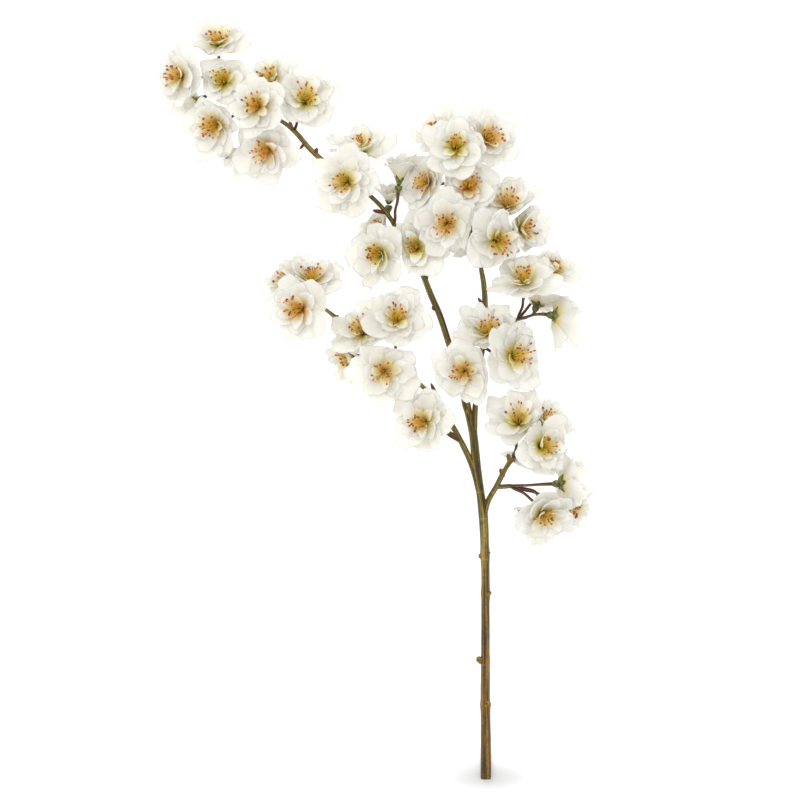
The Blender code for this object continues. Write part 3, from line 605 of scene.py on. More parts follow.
def cleared(collection):
    for holder in list(collection.objects):
        bpy.data.objects.remove(holder)
    bpy.data.collections.remove(collection)


def new_tree(name, sockets):
    """An empty geometry tree with named inputs (name, kind, value), and its input and output nodes."""
    tree = bpy.data.node_groups.new(name, "GeometryNodeTree")
    tree.interface.new_socket("Geometry", in_out="INPUT", socket_type="NodeSocketGeometry")
    for label, kind, value in sockets:
        made = tree.interface.new_socket(label, in_out="INPUT", socket_type="NodeSocket" + kind)
        if value is not None:
            made.default_value = value
    tree.interface.new_socket("Geometry", in_out="OUTPUT", socket_type="NodeSocketGeometry")
    return tree, tree.nodes.new("NodeGroupInput").outputs, tree.nodes.new("NodeGroupOutput").inputs


def random_value(tree, low, high, seed, offset):
    """A number between two values, fixed for each point by the seed."""
    shifted = add_node(tree, "ShaderNodeMath", {0: seed, 1: float(offset)}, operation="ADD")
    drawn = add_node(tree, "FunctionNodeRandomValue", {2: low, 3: high, 8: shifted.outputs[0]}, data_type="FLOAT")
    return drawn.outputs[1]


def whorl_tree():
    """Petals set round a middle at even turns, each one picked, sized, turned and rolled a little differently."""
    tree, given, result = new_tree("petal whorl", [
        ("Petal shapes", "Collection", None), ("Petals", "Int", 5), ("Size", "Float", 1.0),
        ("Size spread", "Float", 0.06), ("First turn", "Float", 0.0), ("Turn spread", "Float", 0.06),
        ("Roll", "Float", 0.1), ("Pitch spread", "Float", 0.07), ("Seed", "Int", 0),
        ("Finish", "Material", None)])
    seed = given["Seed"]
    points = add_node(tree, "GeometryNodePoints", {"Count": given["Petals"]})
    index = add_node(tree, "GeometryNodeInputIndex").outputs[0]
    step = add_node(tree, "ShaderNodeMath", {0: 2 * math.pi, 1: given["Petals"]}, operation="DIVIDE")
    even = add_node(tree, "ShaderNodeMath", {0: index, 1: step.outputs[0], 2: given["First turn"]},
                    operation="MULTIPLY_ADD")
    less = add_node(tree, "ShaderNodeMath", {0: 0.0, 1: given["Turn spread"]}, operation="SUBTRACT")
    turned = add_node(tree, "ShaderNodeMath", {
        0: even.outputs[0], 1: random_value(tree, less.outputs[0], given["Turn spread"], seed, 1)}, operation="ADD")
    rolled = add_node(tree, "ShaderNodeMath", {
        0: given["Roll"], 1: random_value(tree, 0.7, 1.3, seed, 2)}, operation="MULTIPLY")
    down = add_node(tree, "ShaderNodeMath", {0: 0.0, 1: given["Pitch spread"]}, operation="SUBTRACT")
    pitched = random_value(tree, down.outputs[0], given["Pitch spread"], seed, 6)
    heading = add_node(tree, "ShaderNodeCombineXYZ", {
        "X": rolled.outputs[0], "Y": pitched, "Z": turned.outputs[0]})
    small = add_node(tree, "ShaderNodeMath", {0: 1.0, 1: given["Size spread"]}, operation="SUBTRACT")
    large = add_node(tree, "ShaderNodeMath", {0: 1.0, 1: given["Size spread"]}, operation="ADD")
    size = add_node(tree, "ShaderNodeMath", {
        0: given["Size"], 1: random_value(tree, small.outputs[0], large.outputs[0], seed, 3)}, operation="MULTIPLY")
    shapes = add_node(tree, "GeometryNodeCollectionInfo", {
        "Collection": given["Petal shapes"], "Separate Children": True, "Reset Children": True})
    pick = add_node(tree, "FunctionNodeRandomValue", {4: 0, 5: 99, 8: seed}, data_type="INT")
    petals = add_node(tree, "GeometryNodeInstanceOnPoints", {
        "Points": points.outputs[0], "Instance": shapes.outputs[0], "Pick Instance": True,
        "Instance Index": pick.outputs[2], "Rotation": heading.outputs[0], "Scale": size.outputs[0]})
    shade = add_node(tree, "GeometryNodeStoreNamedAttribute", {
        "Geometry": petals.outputs[0], "Name": "shade", "Value": random_value(tree, 0.0, 1.0, seed, 4)},
        data_type="FLOAT", domain="INSTANCE")
    whole = add_node(tree, "GeometryNodeRealizeInstances", {"Geometry": shade.outputs[0]})
    done = add_node(tree, "GeometryNodeSetMaterial", {"Geometry": whole.outputs[0], "Material": given["Finish"]})
    tree.links.new(done.outputs[0], result[0])
    return tree


def tuft_tree():
    """Stamens round a middle: thin bowed threads that splay outwards, each with an anther at its tip."""
    tree, given, result = new_tree("stamen tuft", [
        ("Stamens", "Int", 20), ("Ring", "Float", 1.5 * MM), ("Length", "Float", 9 * MM),
        ("Least splay", "Float", 0.15), ("Most splay", "Float", 0.75), ("Thread width", "Float", 0.2 * MM),
        ("Anther width", "Float", 0.55 * MM), ("Seed", "Int", 0), ("Thread finish", "Material", None),
        ("Anther finish", "Material", None)])
    seed = given["Seed"]

    def scaled(socket, factor):
        return add_node(tree, "ShaderNodeMath", {0: socket, 1: factor}, operation="MULTIPLY").outputs[0]

    tip = add_node(tree, "ShaderNodeCombineXYZ", {"Z": given["Length"]})
    middle = add_node(tree, "ShaderNodeCombineXYZ", {
        "X": scaled(given["Length"], -0.16), "Z": scaled(given["Length"], 0.55)})
    spine = add_node(tree, "GeometryNodeCurveQuadraticBezier", {
        "Resolution": 6, "Start": (0.0, 0.0, 0.0), "Middle": middle.outputs[0], "End": tip.outputs[0]})
    factor = add_node(tree, "GeometryNodeSplineParameter").outputs["Factor"]
    marked = add_node(tree, "GeometryNodeStoreNamedAttribute", {
        "Geometry": spine.outputs[0], "Name": "along", "Value": factor}, data_type="FLOAT", domain="POINT")
    taper = add_node(tree, "ShaderNodeMath", {0: factor, 1: -0.35, 2: 1.0}, operation="MULTIPLY_ADD")
    tapered = add_node(tree, "GeometryNodeSetCurveRadius", {
        "Curve": marked.outputs[0], "Radius": taper.outputs[0]})
    ring = add_node(tree, "GeometryNodeCurvePrimitiveCircle", {
        "Resolution": 5, "Radius": given["Thread width"]})
    thread = add_node(tree, "GeometryNodeCurveToMesh", {
        "Curve": tapered.outputs[0], "Profile Curve": ring.outputs[0], "Fill Caps": True})
    if "Scale" in thread.inputs:
        tree.links.new(taper.outputs[0], thread.inputs["Scale"])
    thread = add_node(tree, "GeometryNodeSetMaterial", {
        "Geometry": thread.outputs[0], "Material": given["Thread finish"]})
    ball = add_node(tree, "GeometryNodeMeshUVSphere", {
        "Segments": 8, "Rings": 5, "Radius": given["Anther width"]})
    anther = add_node(tree, "GeometryNodeTransform", {
        "Geometry": ball.outputs[0], "Translation": tip.outputs[0], "Scale": (1.25, 0.8, 1.05)})
    anther = add_node(tree, "GeometryNodeSetMaterial", {
        "Geometry": anther.outputs[0], "Material": given["Anther finish"]})
    stamen = add_node(tree, "GeometryNodeJoinGeometry", {0: thread.outputs[0]})
    tree.links.new(anther.outputs[0], stamen.inputs[0])

    index = add_node(tree, "GeometryNodeInputIndex").outputs[0]
    golden = math.pi * (3.0 - math.sqrt(5.0))
    turn = add_node(tree, "ShaderNodeMath", {
        0: index, 1: golden, 2: random_value(tree, -0.3, 0.3, seed, 1)}, operation="MULTIPLY_ADD").outputs[0]
    cosine = add_node(tree, "ShaderNodeMath", {0: turn}, operation="COSINE").outputs[0]
    sine = add_node(tree, "ShaderNodeMath", {0: turn}, operation="SINE").outputs[0]
    reach = scaled(given["Ring"], random_value(tree, 0.5, 1.1, seed, 2))
    root = add_node(tree, "ShaderNodeCombineXYZ", {"X": scaled(cosine, reach), "Y": scaled(sine, reach)})
    points = add_node(tree, "GeometryNodePoints", {"Count": given["Stamens"], "Position": root.outputs[0]})
    splay = random_value(tree, given["Least splay"], given["Most splay"], seed, 3)
    heading = add_node(tree, "ShaderNodeCombineXYZ", {"Y": splay, "Z": turn})
    size = random_value(tree, 0.72, 1.15, seed, 4)
    tuft = add_node(tree, "GeometryNodeInstanceOnPoints", {
        "Points": points.outputs[0], "Instance": stamen.outputs[0], "Rotation": heading.outputs[0], "Scale": size})
    shade = add_node(tree, "GeometryNodeStoreNamedAttribute", {
        "Geometry": tuft.outputs[0], "Name": "shade", "Value": random_value(tree, 0.0, 1.0, seed, 5)},
        data_type="FLOAT", domain="INSTANCE")
    whole = add_node(tree, "GeometryNodeRealizeInstances", {"Geometry": shade.outputs[0]})
    tree.links.new(whole.outputs[0], result[0])
    return tree


def stem_tree():
    """Bark swept along a run of points that hold their own width, with grooves that follow the stem."""
    tree, given, result = new_tree("grown stem", [
        ("Sides", "Int", 16), ("Groove depth", "Float", 0.12), ("Grooves across", "Float", 2.2),
        ("Groove pace", "Float", 90.0), ("Finish", "Material", None)])
    curve = add_node(tree, "GeometryNodeMeshToCurve", {"Mesh": given["Geometry"]})
    width = add_node(tree, "GeometryNodeInputNamedAttribute", {"Name": "width"}, data_type="FLOAT").outputs[0]
    run = add_node(tree, "GeometryNodeSplineParameter")
    marked = add_node(tree, "GeometryNodeStoreNamedAttribute", {
        "Geometry": curve.outputs[0], "Name": "run", "Value": run.outputs["Length"]},
        data_type="FLOAT", domain="POINT")
    wide = add_node(tree, "GeometryNodeSetCurveRadius", {"Curve": marked.outputs[0], "Radius": width})
    ring = add_node(tree, "GeometryNodeCurvePrimitiveCircle", {"Resolution": given["Sides"], "Radius": 1.0})
    around = add_node(tree, "GeometryNodeStoreNamedAttribute", {
        "Geometry": ring.outputs[0], "Name": "around", "Value": run.outputs["Factor"]},
        data_type="FLOAT", domain="POINT")
    swept = add_node(tree, "GeometryNodeCurveToMesh", {
        "Curve": wide.outputs[0], "Profile Curve": around.outputs[0], "Fill Caps": True})
    if "Scale" in swept.inputs:
        tree.links.new(width, swept.inputs["Scale"])
    turn = add_node(tree, "GeometryNodeInputNamedAttribute", {"Name": "around"}, data_type="FLOAT").outputs[0]
    length = add_node(tree, "GeometryNodeInputNamedAttribute", {"Name": "run"}, data_type="FLOAT").outputs[0]
    turn = add_node(tree, "ShaderNodeMath", {0: turn, 1: 2 * math.pi}, operation="MULTIPLY").outputs[0]
    cosine = add_node(tree, "ShaderNodeMath", {0: turn}, operation="COSINE").outputs[0]
    sine = add_node(tree, "ShaderNodeMath", {0: turn}, operation="SINE").outputs[0]

    def scaled(socket, factor):
        return add_node(tree, "ShaderNodeMath", {0: socket, 1: factor}, operation="MULTIPLY").outputs[0]

    spot = add_node(tree, "ShaderNodeCombineXYZ", {
        "X": scaled(cosine, given["Grooves across"]), "Y": scaled(sine, given["Grooves across"]),
        "Z": scaled(length, given["Groove pace"])})
    grain = add_node(tree, "ShaderNodeTexNoise", {
        "Vector": spot.outputs[0], "Scale": 1.0, "Detail": 2.0, "Roughness": 0.5})
    lift = add_node(tree, "ShaderNodeMath", {0: grain.outputs[0], 1: -0.5}, operation="ADD").outputs[0]
    lift = scaled(scaled(lift, given["Groove depth"]), width)
    normal = add_node(tree, "GeometryNodeInputNormal").outputs[0]
    shift = add_node(tree, "ShaderNodeVectorMath", {0: normal, "Scale": lift}, operation="SCALE")
    rough = add_node(tree, "GeometryNodeSetPosition", {
        "Geometry": swept.outputs[0], "Offset": shift.outputs[0]})
    whole = add_node(tree, "GeometryNodeRealizeInstances", {"Geometry": rough.outputs[0]})
    done = add_node(tree, "GeometryNodeSetMaterial", {"Geometry": whole.outputs[0], "Material": given["Finish"]})
    tree.links.new(done.outputs[0], result[0])
    return tree


def level(flat, blossom, whorl):
    """Height of a whorl over the blossom's middle: it rises steeply and flattens towards its rim."""
    share = np.hypot(flat[:, 0], flat[:, 1]) / (blossom.radius * whorl["share"])
    share = np.maximum(share - CLAW, 0.0) / (1.0 - CLAW)
    bow = whorl["bow"]
    rise = whorl["rise"] * (blossom.cup - whorl["ease"] * max(0.0, blossom.cup - 1.0))
    return rise * (bow * share - (bow - RIM_LEVEL) * share**2) + 0.5 * BLADE + whorl["lift"]


VALUES = ("along", "across", "shade", "spread", "flush", "green")
WOOD_VALUES = ("run", "around", "scar")


def petal_shapes(blossom, planes, whorl_nodes, shelves, finish):
    """The blossom's petals, whorl by whorl, shaped to its bowl and bent clear."""
    made = []
    for key, (whorl, shapes) in enumerate(zip((OUTER, INNER, THROAT), shelves)):
        mesh = grown(whorl_nodes, {
            "Petal shapes": shapes, "Petals": whorl["petals"], "Size": blossom.radius / BLOSSOM_RADIUS,
            "Size spread": whorl["spread"], "First turn": whorl["turn"] * 2 * math.pi / whorl["petals"],
            "Turn spread": whorl["stray"], "Roll": math.radians(whorl["roll"]),
            "Pitch spread": math.radians(whorl["pitch"]), "Seed": 31 * blossom.index + key, "Finish": finish})
        shape = shape_of(mesh, VALUES, slot=0)
        bpy.data.meshes.remove(mesh)
        flat = shape.points
        turn = np.arctan2(flat[:, 1], flat[:, 0])
        share = np.hypot(flat[:, 0], flat[:, 1]) / blossom.radius
        shape.values["spread"] = share
        swell = 1.0 * MM * share**2 * np.sin(2 * turn + math.pi * sway(blossom.index, 60, key))
        flat[:, 2] += level(flat, blossom, whorl) + swell
        shape.points = bent(blossom.world(flat), blossom, planes, (0.5 if key == 0 else 2.0) * BLADE)
        made.append(shape)
    return made


def tuft_shape(blossom, planes, tuft_nodes, thread_finish, anther_finish):
    """The blossom's stamens, which lean one way together."""
    mesh = grown(tuft_nodes, {
        "Stamens": 20 + round(3 * sway(blossom.index, 70)), "Ring": 1.6 * MM,
        "Length": 10.5 * MM * blossom.radius / BLOSSOM_RADIUS, "Least splay": 0.1, "Most splay": 0.72,
        "Thread width": 0.26 * MM, "Anther width": 0.80 * MM, "Seed": blossom.index,
        "Thread finish": thread_finish, "Anther finish": anther_finish})
    shape = shape_of(mesh, VALUES)
    shape.slots = np.array([{"threads": 1, "anthers": 2}[role(mesh.materials[k], thread_finish)]
                            for k in range(len(mesh.materials))])[shape.slots]
    bpy.data.meshes.remove(mesh)
    flat = shape.points
    flat[:, :2] /= max(1.0, blossom.cup)
    flat[:, 2] += 1.6 * MM
    points = blossom.world(flat)
    bearing = math.radians(blossom.tint[2])
    height = np.clip(flat[:, 2] / (10.5 * MM), 0.0, 1.3)
    lean = np.array([math.cos(bearing), math.sin(bearing), 0.0])
    lean = lean - blossom.axis * (lean @ blossom.axis)
    points += np.multiply.outer(2.6 * MM * height**1.5 / max(1.0, blossom.cup) ** 2, lean)
    shape.points = bent(points, blossom, planes, 2.0 * BLADE)
    return shape


def role(finish, thread_finish):
    return "threads" if finish == thread_finish else "anthers"


# Wood

def scar_strength(points):
    """How much of a ring scar each point of the wood is, from 0 to 1."""
    away = np.abs(points[:, 1, None] - np.array(SCARS) * MM).min(axis=1)
    return np.exp(-((away / SCAR_HALF_WIDTH) ** 2))


def knuckled(run):
    """A limb's stations with low ridges at the ring scars, a swelling at each knob and a rounded foot."""
    run = run.copy()
    roots = np.array([place(*root) for root, _, _ in KNOBS])
    away = np.linalg.norm(run[:, None, :3] - roots, axis=2).min(axis=1)
    run[:, 3] *= 1.0 + 0.13 * np.exp(-((away / KNEE_HALF_LENGTH) ** 2)) + 0.04 * scar_strength(run)
    if run[0, 3] > 3.0 * MM:
        foot = run[0] + np.multiply.outer((0.0, 0.3 * MM, 0.8 * MM), (0.0, 1.0, 0.0, 0.0))
        foot[:, 3] = run[0, 3] * np.array([0.80, 0.92, 0.98])
        run = np.vstack([foot, run[2:]])
    return run


def run_mesh(runs):
    """Centrelines as one wire mesh whose points hold their own width. Each run is rows of (x, y, z, radius)."""
    points = np.vstack(runs)
    edges, at = [], 0
    for run in runs:
        edges += [(at + k, at + k + 1) for k in range(len(run) - 1)]
        at += len(run)
    mesh = bpy.data.meshes.new("runs")
    mesh.from_pydata([tuple(p) for p in points[:, :3]], edges, [])
    for name, value in (("width", points[:, 3]), ("scar", scar_strength(points))):
        layer = mesh.attributes.new(name, "FLOAT", "POINT")
        layer.data.foreach_set("value", np.ascontiguousarray(value))
    return mesh


def cup_shape(blossom):
    """The green cup under a blossom: a bell turned round the axis, from the stalk's end to its seat."""
    profile = ((0.0, 0.50), (0.14, 0.60), (0.34, 0.86), (0.55, 1.04), (0.75, 1.08), (0.92, 1.0), (1.0, 0.86))
    sides = 14
    start = blossom.hub - blossom.axis * (SEAT_GAP + CUP_DEPTH)
    rings = []
    for along, width in profile:
        centre = start + blossom.axis * CUP_DEPTH * along
        for k in range(sides):
            a = 2 * math.pi * k / sides
            bulge = 1.0 + 0.05 * math.cos(5 * a)
            side = math.cos(a) * blossom.sides[0] + math.sin(a) * blossom.sides[1]
            rings.append(centre + side * CUP_RADIUS * width * bulge)
    faces = []
    for ring in range(len(profile) - 1):
        for k in range(sides):
            a, b = ring * sides + k, ring * sides + (k + 1) % sides
            faces.append((a, b, b + sides, a + sides))
    last = (len(profile) - 1) * sides
    faces.append(tuple(range(sides - 1, -1, -1)))
    faces.append(tuple(range(last, last + sides)))
    return shape_from_faces(rings, faces, 2)


def shape_from_faces(points, faces, slot):
    corners = np.array([v for face in faces for v in face], dtype=np.int32)
    starts = np.cumsum([0] + [len(f) for f in faces[:-1]]).astype(np.int32)
    values = {name: np.zeros(len(points)) for name in VALUES + WOOD_VALUES}
    return Shape(np.array(points), corners, starts, np.full(len(faces), slot, dtype=np.int32), values)


def sepal_shape(blossom, planes, whorl_nodes, shapes, finish):
    """Five sepals that back the petals."""
    mesh = grown(whorl_nodes, {
        "Petal shapes": shapes, "Petals": PETALS, "Size": min(1.0, blossom.radius / BLOSSOM_RADIUS), "Size spread": 0.1,
        "First turn": math.pi / PETALS, "Roll": 0.0, "Pitch spread": 0.02, "Seed": 500 + blossom.index, "Finish": finish})
    shape = shape_of(mesh, VALUES + WOOD_VALUES, slot=2)
    bpy.data.meshes.remove(mesh)
    flat = shape.points
    flat[:, :2] *= 1.0 + 0.9 * MM / np.maximum(np.hypot(flat[:, 0], flat[:, 1]), 1.0 * MM)[:, None]
    flat[:, 2] += level(flat, blossom, OUTER) - SEPAL_CLEARANCE
    shape.points = bent(blossom.world(flat), blossom, planes, 0.5 * BLADE)
    return shape


def branch_shapes(blossoms, planes, stem_nodes, whorl_nodes, sepals, finishes):
    """Limbs, stalks, cups with their sepals, and buds."""
    names = VALUES + WOOD_VALUES
    limbs = run_mesh([knuckled(smooth_stations(stations, 1.0 * MM)) for stations in LIMBS.values()])
    mesh = grown(stem_nodes, {
        "Sides": 18, "Groove depth": 0.26, "Grooves across": 2.6, "Groove pace": 38.0,
        "Finish": finishes[0]}, limbs)
    made = [shape_of(mesh, names, slot=0)]
    stalks = []
    for b in blossoms:
        count = 14
        steps = np.linspace(0.0, 1.0, count)
        swell = np.interp(steps, (0.0, 0.33, 0.67, 1.0), STALK_SWELL)
        wave = 0.5 * MM * np.sin(math.pi * steps) * np.sin(3 * math.pi * steps + math.pi * sway(b.index, 80))
        line = bezier(b.stalk_ends, count) + np.multiply.outer(wave, b.sides[b.index % 2])
        stalks.append(np.column_stack([line, STALK_RADIUS * swell]))
    mesh = grown(stem_nodes, {
        "Sides": 10, "Groove depth": 0.12, "Grooves across": 1.2, "Groove pace": 120.0,
        "Finish": finishes[1]}, run_mesh(stalks))
    made.append(shape_of(mesh, names, slot=1))
    for slot, rows, profile in ((3, BUDS, BUD_STATIONS), (4, KNOBS, KNOB_STATIONS)):
        runs = []
        for root, offset, radius in rows:
            start, step = place(*root), np.array(offset) * MM
            runs.append(np.array([[*(start + step * s), radius * MM * w] for s, w in profile]))
        mesh = grown(stem_nodes, {
            "Sides": 12, "Groove depth": 0.25, "Grooves across": 1.4, "Groove pace": 500.0,
            "Finish": finishes[slot]}, run_mesh(runs))
        made.append(shape_of(mesh, names, slot=slot))
    for b, room in zip(blossoms, planes):
        made.append(cup_shape(b))
        made.append(sepal_shape(b, room, whorl_nodes, sepals, finishes[2]))
    for shape in made:
        shape.points[:, 2] = np.maximum(shape.points[:, 2], 0.0)
    return made


# Finishes

def new_finish(name):
    made = bpy.data.materials.new(name)
    made.use_nodes = True
    tree = made.node_tree
    return made, tree, tree.nodes["Principled BSDF"], tree.nodes["Material Output"]


def ramp(tree, value, stops):
    """A colour ramp through stops of (position, hex colour)."""
    made = add_node(tree, "ShaderNodeValToRGB", {"Fac": value})
    band = made.color_ramp
    while len(band.elements) < len(stops):
        band.elements.new(0.5)
    for element, (position, code) in zip(band.elements, stops):
        element.position = position
        element.color = colour(code)
    return made.outputs["Color"]


def point_value(tree, name):
    return add_node(tree, "ShaderNodeAttribute", attribute_name=name).outputs["Fac"]


def mixed(tree, share, first, second, blend="MIX"):
    """One colour over another by a share."""
    made = add_node(tree, "ShaderNodeMix", {0: share, 6: first, 7: second}, data_type="RGBA", blend_type=blend)
    return made.outputs[2]


def petal_finish():
    """Fresh petal tissue: matt, thin enough to glow when lit from behind, pearly white with fine veins."""
    made, tree, shader, output = new_finish("fresh petal tissue")
    spread = point_value(tree, "spread")
    along = point_value(tree, "along")
    across = point_value(tree, "across")
    # Veins fan out from the claw, about 0.7 mm apart at the rim.
    spot = add_node(tree, "ShaderNodeCombineXYZ", {"X": across, "Y": along})
    stretched = add_node(tree, "ShaderNodeVectorMath", {0: spot.outputs[0], 1: (17.0, 1.6, 1.0)}, operation="MULTIPLY")
    veins = add_node(tree, "ShaderNodeTexNoise", {
        "Vector": stretched.outputs[0], "Scale": 1.0, "Detail": 3.0, "Roughness": 0.55})
    position = add_node(tree, "ShaderNodeTexCoord").outputs["Object"]
    blotch = add_node(tree, "ShaderNodeTexNoise", {"Vector": position, "Scale": 90.0, "Detail": 2.0})

    white = ramp(tree, veins.outputs[0], ((0.30, "#F9F7F2"), (0.55, "#FDFDFA"), (0.75, "#FFFFFE")))
    pale = ramp(tree, blotch.outputs[0], ((0.35, "#FBF9F3"), (0.6, "#FFFFFF")))
    base = mixed(tree, 0.55, white, pale, "MULTIPLY")
    # Cream and then yellow-green towards the throat, as far as each blossom is green.
    cream = ramp(tree, spread, ((0.06, "#F6E47C"), (0.20, "#FDF5C8"), (0.42, "#FFFFFF")))
    base = mixed(tree, 0.8, base, cream, "MULTIPLY")
    green_reach = ramp(tree, spread, ((0.06, "#FFFFFF"), (0.20, "#C4C4C4"), (0.40, "#000000")))
    green_share = add_node(tree, "ShaderNodeMath", {0: green_reach, 1: point_value(tree, "green")},
                           operation="MULTIPLY")
    throat = ramp(tree, spread, ((0.04, "#6E6808"), (0.11, "#C8C41C"), (0.19, "#ECE84E"), (0.32, "#FAF8B4")))
    base = mixed(tree, green_share.outputs[0], base, throat)
    flush_reach = ramp(tree, spread, ((0.08, "#FFFFFF"), (0.24, "#8A8A8A"), (0.50, "#000000")))
    flush_share = add_node(tree, "ShaderNodeMath", {0: flush_reach, 1: point_value(tree, "flush")},
                           operation="MULTIPLY")
    peach = ramp(tree, spread, ((0.08, "#EE9A3C"), (0.22, "#FACFA2"), (0.42, "#FDEBDD")))
    base = mixed(tree, flush_share.outputs[0], base, peach)
    tree.links.new(base, shader.inputs["Base Color"])
    shader.inputs["Roughness"].default_value = 0.52
    shader.inputs["Specular IOR Level"].default_value = 0.35
    shader.inputs["Sheen Weight"].default_value = 0.15
    shader.inputs["Sheen Roughness"].default_value = 0.5
    bump = add_node(tree, "ShaderNodeBump", {
        "Height": veins.outputs[0], "Strength": 0.22, "Distance": 0.25 * MM})
    tree.links.new(bump.outputs[0], shader.inputs["Normal"])
    glow = add_node(tree, "ShaderNodeBsdfTranslucent", {"Color": base})
    both = add_node(tree, "ShaderNodeMixShader", {0: 0.5, 1: shader.outputs[0], 2: glow.outputs[0]})
    tree.links.new(both.outputs[0], output.inputs["Surface"])
    return made


def thread_finish():
    """Stamen threads: smooth and fleshy, yellow-green at the root and orange at the tip."""
    made, tree, shader, _ = new_finish("stamen thread")
    along = point_value(tree, "along")
    base = ramp(tree, along, ((0.0, "#B3A828"), (0.35, "#EFD23A"), (0.75, "#F0B43A"), (1.0, "#DE842C")))
    tree.links.new(base, shader.inputs["Base Color"])
    shader.inputs["Roughness"].default_value = 0.45
    return made


def anther_finish():
    """Ripe anthers: dusty with pollen, orange to red-brown."""
    made, tree, shader, _ = new_finish("ripe anther")
    base = ramp(tree, point_value(tree, "shade"), ((0.0, "#9A481A"), (0.45, "#C46C24"), (1.0, "#E8A244")))
    position = add_node(tree, "ShaderNodeTexCoord").outputs["Object"]
    dust = add_node(tree, "ShaderNodeTexNoise", {"Vector": position, "Scale": 2500.0, "Detail": 2.0})
    tint = ramp(tree, dust.outputs[0], ((0.35, "#B4A090"), (0.65, "#FFFFFF")))
    tree.links.new(mixed(tree, 0.8, base, tint, "MULTIPLY"), shader.inputs["Base Color"])
    shader.inputs["Roughness"].default_value = 0.75
    bump = add_node(tree, "ShaderNodeBump", {"Height": dust.outputs[0], "Strength": 0.6, "Distance": 0.1 * MM})
    tree.links.new(bump.outputs[0], shader.inputs["Normal"])
    return made


def bark_finish(name, dark, middle, light, roughness, foot=None):
    """Young bark: smooth, with long streaks along the stem and pale scars. The streaks also shape the bump, and their
    colour is partly painted light: darker in its grooves as painted shade, paler on its ridges as painted highlight. It
    turns to the foot's tint at -Y.
    """
    made, tree, shader, _ = new_finish(name)
    around = add_node(tree, "ShaderNodeMath", {0: point_value(tree, "around"), 1: 2 * math.pi},
                      operation="MULTIPLY").outputs[0]
    cosine = add_node(tree, "ShaderNodeMath", {0: around}, operation="COSINE").outputs[0]
    sine = add_node(tree, "ShaderNodeMath", {0: around}, operation="SINE").outputs[0]
    # Streaks about 1 mm wide and 40 mm long: the bark's own streaky tone, with painted shade in the dark ones and
    # painted highlight in the pale ones.
    spot = add_node(tree, "ShaderNodeCombineXYZ", {"X": cosine, "Y": sine, "Z": add_node(
        tree, "ShaderNodeMath", {0: point_value(tree, "run"), 1: 9.0}, operation="MULTIPLY").outputs[0]})
    streaks = add_node(tree, "ShaderNodeTexNoise", {
        "Vector": spot.outputs[0], "Scale": 2.6, "Detail": 4.0, "Roughness": 0.6})
    position = add_node(tree, "ShaderNodeTexCoord").outputs["Object"]
    grain = add_node(tree, "ShaderNodeTexNoise", {"Vector": position, "Scale": 420.0, "Detail": 3.0})
    # Dark to light along the streaks: bark tone with painted shade at the dark end and painted highlight at the light
    # end, in step with the bump's grooves and ridges.
    base = ramp(tree, streaks.outputs[0], ((0.36, dark), (0.5, middle), (0.66, light)))
    flecks = ramp(tree, grain.outputs[0], ((0.35, "#B8B0A4"), (0.55, "#FFFFFF")))
    base = mixed(tree, 0.6, base, flecks, "MULTIPLY")
    if foot:
        length = add_node(tree, "ShaderNodeSeparateXYZ", {0: position}).outputs["Y"]
        foot_share = add_node(tree, "ShaderNodeMapRange", {
            "Value": length, "From Min": -0.09, "From Max": -0.17, "To Min": 0.0, "To Max": 1.0}).outputs[0]
        base = mixed(tree, foot_share, base, mixed(tree, 1.0, base, colour(foot), "MULTIPLY"))
        cut = add_node(tree, "ShaderNodeMath", {0: length, 1: -0.26985}, operation="LESS_THAN").outputs[0]
        base = mixed(tree, cut, base, colour("#C9B98A"))
    scar_share = add_node(tree, "ShaderNodeMath", {0: point_value(tree, "scar"), 1: streaks.outputs[0]},
                          operation="MULTIPLY").outputs[0]
    base = mixed(tree, scar_share, base, colour(light))
    tree.links.new(base, shader.inputs["Base Color"])
    shader.inputs["Roughness"].default_value = roughness
    shader.inputs["Specular IOR Level"].default_value = 0.4
    height = add_node(tree, "ShaderNodeMath", {0: grain.outputs[0], 1: 0.5, 2: streaks.outputs[0]},
                      operation="MULTIPLY_ADD")
    bump = add_node(tree, "ShaderNodeBump", {"Height": height.outputs[0], "Strength": 0.6, "Distance": 0.3 * MM})
    tree.links.new(bump.outputs[0], shader.inputs["Normal"])
    return made


def green_finish():
    """Cup and sepals: leathery green skin with a soft down and reddish blotches."""
    made, tree, shader, _ = new_finish("green cup skin")
    position = add_node(tree, "ShaderNodeTexCoord").outputs["Object"]
    blotch = add_node(tree, "ShaderNodeTexNoise", {"Vector": position, "Scale": 420.0, "Detail": 3.0})
    base = ramp(tree, blotch.outputs[0], ((0.34, "#4A3A1E"), (0.5, "#5E6226"), (0.7, "#8C9440")))
    tree.links.new(base, shader.inputs["Base Color"])
    shader.inputs["Roughness"].default_value = 0.6
    shader.inputs["Sheen Weight"].default_value = 0.2
    bump = add_node(tree, "ShaderNodeBump", {"Height": blotch.outputs[0], "Strength": 0.5, "Distance": 0.2 * MM})
    tree.links.new(bump.outputs[0], shader.inputs["Normal"])
    return made


